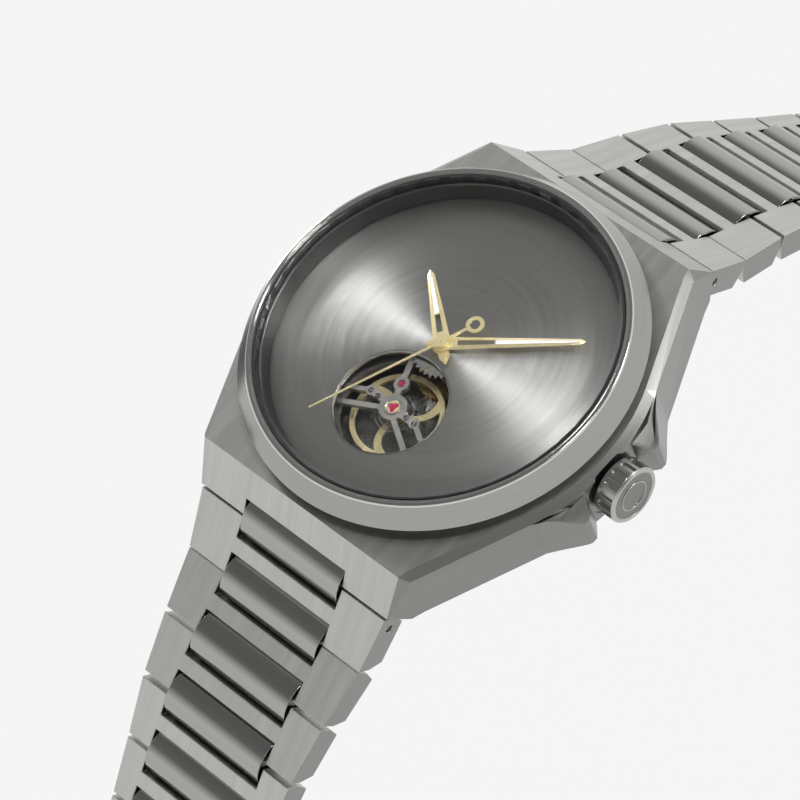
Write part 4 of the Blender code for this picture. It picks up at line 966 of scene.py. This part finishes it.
def hand(name, body, node, angle, length, width, tip_width, slot, lume_start, tail, hub, bore):
    """An hour or minute hand, pointing to 12 o'clock while it is drawn."""
    bottom = low(node).z + 0.01
    top = high(node).z
    edge_z = bottom + (top - bottom) * 0.3
    tip_start = length - tip_width * 0.8
    slot_near, slot_far, slot_width = slot
    outer = [(width / 2.0, 0.2), (tip_width / 2.0, tip_start), (0.0, length), (-tip_width / 2.0, tip_start)]
    outer += [(-width / 2.0, 0.2), (0.0, -0.3)]
    near_half = slot_width / 2.0
    far_half = near_half * 0.45
    inner = [(near_half, slot_near), (far_half, slot_far), (0.0, slot_far + 0.06), (-far_half, slot_far)]
    inner += [(-near_half, slot_near), (0.0, slot_near - 0.01)]
    turn = Matrix.Rotation(-math.radians(angle), 4, "Z")
    blade = solid(add_frame, outer, inner, bottom, edge_z, top)
    tail_outline = [(width * 0.36, -0.2), (width * 0.3, -tail * 0.62), (0.0, -tail)]
    tail_outline += [(-width * 0.3, -tail * 0.62), (-width * 0.36, -0.2)]
    tail_frame = solid(add_plate, tail_outline, bottom, edge_z)
    ridge = solid(add_bar, (0.0, -0.2), (0.0, -tail * 0.8), width * 0.3, edge_z - 0.01, top - 0.02, 0.1)
    share = (lume_start - slot_near) / (slot_far - slot_near)
    half = near_half + (far_half - near_half) * share
    bar_half = half + 0.04
    bar = solid(add_bar, (-bar_half, lume_start), (bar_half, lume_start), 0.14, bottom, top - 0.02)
    fuse(blade, tail_frame, ridge, bar, solid(add_disc, hub, bottom - 0.004, top, 40))
    cut(blade, solid(add_disc, bore, 0.0, 12.0, 32))
    blade.data.transform(turn)
    finish(blade, name, body, [gold_metal], 0.025, 2, 20.0)
    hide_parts(node)
    near_edge = half * LUME_FIT
    far_edge = far_half * LUME_FIT
    lume = [(near_edge, lume_start), (far_edge, slot_far), (-far_edge, slot_far), (-near_edge, lume_start)]
    insert = solid(add_plate, lume, bottom + 0.02, top - 0.035)
    insert.data.transform(turn)
    finish(insert, name + "_lume", body, [lume_white])


hand(
    "hour_hand_blade", "hours", "hour_hand", HAND_ANGLES[0], length=8.95, width=1.75, tip_width=0.72,
    slot=(1.5, 8.1, 0.62), lume_start=3.6, tail=2.3, hub=1.05, bore=0.5,
)
hand(
    "minute_hand_blade", "minutes", "minute_hand", HAND_ANGLES[1], length=14.15, width=1.45, tip_width=0.62,
    slot=(1.6, 13.4, 0.56), lume_start=5.3, tail=1.75, hub=0.9, bore=0.24,
)

second_low = low("seconds_hand").z + 0.012
second_high = second_low + 0.12
near_half, far_half = SECOND_HALF_WIDTHS
near, far = SECOND_REACH
outline = [(-near_half, near), (near_half, near), (far_half, far), (-far_half, far)]
needle = solid(add_loft, [[(x, y, z) for x, y in outline] for z in (second_low, second_high)])
hub = solid(add_disc, 0.64, second_low - 0.006, second_high + 0.03, 40)
ring = solid(add_disc, 0.92, second_low - 0.002, second_high + 0.002, 48, RING_PLACE)
fuse(needle, hub, ring)
cut(needle, solid(add_disc, 0.52, 0.0, 12.0, 40, RING_PLACE), solid(add_disc, 0.1, 0.0, 12.0, 16))
needle.data.transform(Matrix.Rotation(-math.radians(HAND_ANGLES[2]), 4, "Z"))
finish(needle, "seconds_hand_needle", "seconds", [gold_metal], 0.02, 2, 30.0)
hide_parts("seconds_hand")

# ---------------------------------------------------------------- crown
# The crown is turned steel with wide milled slots round it, a polished rim and a plain matt face
# with one ring turned in it.

CROWN_RADIUS = 3.0
SLOT_COUNT = 16

CROWN_GRAIN = (1200.0, 3500.0, 3500.0)
EVEN_GRAIN = (3000.0, 3000.0, 3000.0)

crown_metal = drawn_metal("crown_polished", (0.46, 0.457, 0.44), 0.22, CROWN_GRAIN, 0.1, 0.05, 0.04)
crown_face_metal = drawn_metal("crown_face_satin", (0.22, 0.218, 0.211), 0.34, EVEN_GRAIN, 0.18)
crown_low = low("crown").x
crown_high = high("crown").x
crown = solid(
    add_turned,
    [
        (0.0, crown_low + 1.5),
        (1.6, crown_low + 1.5),
        (1.6, crown_low),
        (CROWN_RADIUS - 0.25, crown_low),
        (CROWN_RADIUS, crown_low + 0.25),
        (CROWN_RADIUS, crown_high - 0.22),
        (CROWN_RADIUS - 0.18, crown_high),
        (CROWN_RADIUS - 0.42, crown_high),
        (CROWN_RADIUS - 0.5, crown_high - 0.1),
        (0.0, crown_high - 0.1),
    ],
    128,
)


def add_crown_slot(bm, heading):
    """A milled slot with a round inner end, along the crown's side."""
    start = crown_low + 0.55
    end = crown_high - 0.3
    half = 0.34
    outline = [(-half, end)] + arc(half, 180.0, 360.0, 8, (0.0, start + half)) + [(half, end)]
    inner = CROWN_RADIUS - 0.26
    outer = CROWN_RADIUS + 0.6
    turn = Matrix.Rotation(math.radians(heading), 4, "Z")
    loops = [[turn @ Vector((radius, across, z)) for across, z in outline] for radius in (inner, outer)]
    add_loft(bm, loops)


cut(crown, *[solid(add_crown_slot, 360.0 * index / SLOT_COUNT) for index in range(SLOT_COUNT)])


def crown_face(face):
    """0 for the polished sides and rim, 1 for the satin face."""
    inside = math.hypot(face.center.x, face.center.y) < CROWN_RADIUS - 0.4
    return 1 if inside and face.normal.z > 0.9 else 0


marks = [crown_face(face) for face in crown.data.polygons]
along_x(crown, CROWN_Z)
finish(
    crown, "crown_knob", "crown", [crown_metal, crown_face_metal], 0.05, 2, 30.0,
    pick=lambda face: marks[face.index],
)
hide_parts("crown")
face_ring = solid(add_band, 1.5, 1.62, crown_high - 0.14, crown_high - 0.04, 64)
along_x(face_ring, CROWN_Z)
finish(face_ring, "crown_face_ring", "crown", [crown_metal], 0.02)

# ---------------------------------------------------------------- bracelet
# Each link is an H of solid steel, brushed along the bracelet. A polished barrel fills the notch
# between it and the link before, and a split pin runs along their hinge.

LINK_ANGLES = (45.0, 32.0, 36.5, 45.0, 45.0, 45.0, 49.5, 54.0, 58.5, 63.0, 67.5, 72.0)
CLASP_ANGLE = 76.5
LINK_PITCH = 6.72
LINK_HALF_THICKNESS = 1.5
LINK_RELIEF = 24.0
LAST_HALF_WIDTH = 9.0
TAPER_LINKS = 6
TAPER_POWER = 1.4
BARREL_HALF = 6.62
BARREL_RADIUS = 2.3
BARREL_CROWN = 0.45
BARREL_BEND = 3.0
BARREL_GRAIN = (90.0, 4200.0, 4200.0)
PIN_Y = 1.55

link_metal = drawn_metal("link_brushed", (0.54, 0.537, 0.518), 0.44, (5200.0, 170.0, 5200.0), 0.26)
# The link sides take a darker copy of the links' steel colour: painted shade on the faces turned away from
# the top.
link_side_shaded_metal = drawn_metal("link_side_painted_shade", (0.26, 0.258, 0.25), 0.3, (5200.0, 170.0, 5200.0), 0.14)
barrel_metal = drawn_metal("barrel_polished", (0.38, 0.378, 0.364), 0.13, BARREL_GRAIN, 0.1, 0.04, 0.02)
pin_metal = drawn_metal("pin_steel", (0.3, 0.3, 0.29), 0.3, EVEN_GRAIN, 0.2)


def half_width(index):
    """Half the bracelet's width at the seam after that many links."""
    share = max(0.0, 1.0 - index / TAPER_LINKS)
    return LAST_HALF_WIDTH + (BRACELET_HALF_WIDTH - LAST_HALF_WIDTH) * share**TAPER_POWER


def add_link_body(bm, index):
    lean = LINK_HALF_THICKNESS * math.tan(math.radians(LINK_RELIEF))
    near = LINK_GAP
    far = LINK_PITCH - LINK_GAP
    top = LINK_HALF_THICKNESS
    outline = [(near, top), (near, 0.0), (near + lean, -top), (far - lean, -top), (far, 0.0), (far, top)]
    loops = []
    for side in (-1.0, 1.0):
        loop = []
        for y, z in outline:
            width = half_width(index) + (half_width(index + 1) - half_width(index)) * y / LINK_PITCH
            loop.append((side * width, y, z))
        loops.append(loop)
    add_loft(bm, loops)


def add_box(bm, corner, opposite):
    (x0, y0, z0), (x1, y1, z1) = corner, opposite
    add_plate(bm, [(x0, y0), (x1, y0), (x1, y1), (x0, y1)], z0, z1)


def link_mesh(index):
    """The H of one link, flat along +Y from its hinge line."""
    body = solid(add_link_body, index)
    notch = BARREL_NOTCH_HALF
    reach = LINK_PITCH - BARREL_NOTCH_RADIUS
    cut(
        body,
        solid(add_box, (-notch, -1.0, -3.0), (notch, BARREL_NOTCH_RADIUS, 3.0)),
        solid(add_box, (-notch, reach, -3.0), (notch, LINK_PITCH + 1.0, 3.0)),
    )
    if index == 0:
        for side in (1.0, -1.0):
            hole = solid(add_disc, 0.42, -1.2, 1.2, 24)
            hole.data.transform(Matrix.Rotation(math.radians(90.0), 4, "Y"))
            hole.data.transform(Matrix.Translation((side * half_width(0), PIN_Y, 0.0)))
            cut(body, hole)
    return body


def link_face(face):
    """0 for the brushed top, 1 for the sides, whose darker copy of the steel is painted shade."""
    return 1 if abs(face.normal.x) > 0.8 else 0


def add_barrel(bm):
    """The barrel's section: a bold arc above, and a round belly about its hinge line."""
    top = LINK_HALF_THICKNESS + BARREL_CROWN
    rise = math.sqrt(BARREL_BEND**2 - BARREL_RADIUS**2)
    first = math.degrees(math.atan2(rise, BARREL_RADIUS))
    outline = arc(BARREL_BEND, first, 180.0 - first, 28, (0.0, top - BARREL_BEND))
    outline += [point_at(BARREL_RADIUS, 200.0), point_at(1.65, 225.0)]
    outline += [point_at(1.65, 270.0), point_at(1.65, 315.0), point_at(BARREL_RADIUS, 340.0)]
    add_strip(bm, outline, BARREL_HALF)


def hinge_lines():
    """(y, z) of every hinge line on the 12 o'clock side, from the case to the clasp."""
    lines = [first_hinge]
    for angle in LINK_ANGLES:
        turn = math.radians(angle)
        y, z = lines[-1]
        lines.append((y + LINK_PITCH * math.cos(turn), z - LINK_PITCH * math.sin(turn)))
    return lines


def place_on(side, line, angle):
    """Where a bracelet piece drawn flat along +Y lies, in metres."""
    turn = Matrix.Rotation(-math.radians(angle), 4, "X")
    matrix = Matrix.Translation((0.0, line[0] * MM, line[1] * MM)) @ turn
    if side < 0.0:
        matrix = Matrix.Rotation(math.pi, 4, "Z") @ matrix
    return matrix


metals = [link_metal, link_side_shaded_metal]
lines = hinge_lines()
for side, clock in ((1.0, "12"), (-1.0, "06")):
    for index, angle in enumerate(LINK_ANGLES):
        body = f"link_{clock}_{index + 1:02d}"
        place = place_on(side, lines[index], angle)
        plate = finish(link_mesh(index), f"h_{body}", body, metals, 0.1, 2, 30.0, place, link_face)
        barrel = solid(add_barrel)
        finish(barrel, f"barrel_{body}", body, [barrel_metal], 0.08, 2, 40.0, place)
        web_half = BARREL_HALF - 0.6
        web = solid(add_box, (-web_half, 1.2, -0.9), (web_half, BARREL_NOTCH_RADIUS + 0.7, -0.1))
        finish(web, f"web_{body}", body, [pin_metal], 0.03, 1, 30.0, place)
        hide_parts(body)
        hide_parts(body)
    body = f"link_{clock}_01"
    place = place_on(side, lines[0], LINK_ANGLES[0])
    for hand_side, word in ((1.0, "right"), (-1.0, "left")):
        pin = solid(add_screw, 0.36, -0.5, 0.0, (0.0, 0.0), 40.0)
        pin.data.transform(Matrix.Rotation(math.radians(90.0 * hand_side), 4, "Y"))
        pin.data.transform(Matrix.Translation((hand_side * (half_width(0) - 0.45), PIN_Y, 0.0)))
        finish(pin, f"pin_{clock}_{word}", body, [pin_metal], 0.02, 1, 30.0, place)

# ---------------------------------------------------------------- clasp
# The box clasp is undone: its box hangs from the 12 o'clock leg with a push piece on each side,
# and its sheet steel tongue from the 6 o'clock leg. Both are brushed along the bracelet.

def copy_node(node):
    """A loose copy of a node, in millimetres, to soften and finish."""
    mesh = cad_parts[node].data.copy()
    mesh.transform(Matrix.Scale(1.0 / MM, 4))
    made = bpy.data.objects.new("solid", mesh)
    bpy.context.scene.collection.objects.link(made)
    bm = bmesh.new()
    bm.from_mesh(mesh)
    bmesh.ops.remove_doubles(bm, verts=bm.verts, dist=0.001)
    bmesh.ops.dissolve_limit(bm, angle_limit=math.radians(1.0), verts=bm.verts, edges=bm.edges)
    bm.to_mesh(mesh)
    bm.free()
    return made


for side, node in ((1.0, "clasp_box"), (-1.0, "clasp_tongue")):
    place = place_on(side, lines[-1], CLASP_ANGLE)
    piece = copy_node(node)
    piece.data.transform(Matrix.Scale(1.0 / MM, 4) @ place.inverted() @ Matrix.Scale(MM, 4))
    finish(piece, f"{node}_soft", node, [link_metal], 0.1, 2, 30.0, place)
    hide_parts(node)
for node in ("clasp_pusher_left", "clasp_pusher_right"):
    piece = finish(copy_node(node), f"{node}_soft", node, [crown_metal], 0.12, 3, 25.0)
    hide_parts(node)

# ---------------------------------------------------------------- case back and rotor
# The back is a brushed ring held by small screws round a flat glass. The rotor behind it is a
# half disc of steel with a heavy rim, which winds the mainspring.

back_metal = turned_metal("back_circular", (0.46, 0.457, 0.44), 0.32, 5200.0, 4.0, 0.22, 0.1, 0.1)
rotor_metal = drawn_metal("rotor_striped", (0.6, 0.597, 0.585), 0.24, (2600.0, 160.0, 900.0), 0.3)
SCREW_COUNT = 6

back_ring = copy_node("case_back_ring")
for index in range(SCREW_COUNT):
    x, y = point_at(16.1, 30.0 + 360.0 * index / SCREW_COUNT)
    cut(back_ring, solid(add_disc, 0.75, -1.0, 0.35, 32, (x, y)))
finish(back_ring, "back_ring", "case", [back_metal], 0.08, 2, 25.0)
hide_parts("case_back_ring")
for index in range(SCREW_COUNT):
    x, y = point_at(16.1, 30.0 + 360.0 * index / SCREW_COUNT)
    screw = solid(add_screw, 0.68, -0.45, -0.06, (x, -y), 25.0 * index)
    screw.data.transform(Matrix.Rotation(math.pi, 4, "X"))
    finish(screw, f"back_screw_{index + 1}", "case", [dark_steel], 0.03, 2, 30.0)
dress("case_back_glass", glass_clear)
rotor = finish(copy_node("rotor"), "rotor_weight", "rotor", [rotor_metal], 0.06, 2, 25.0)
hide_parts("rotor")
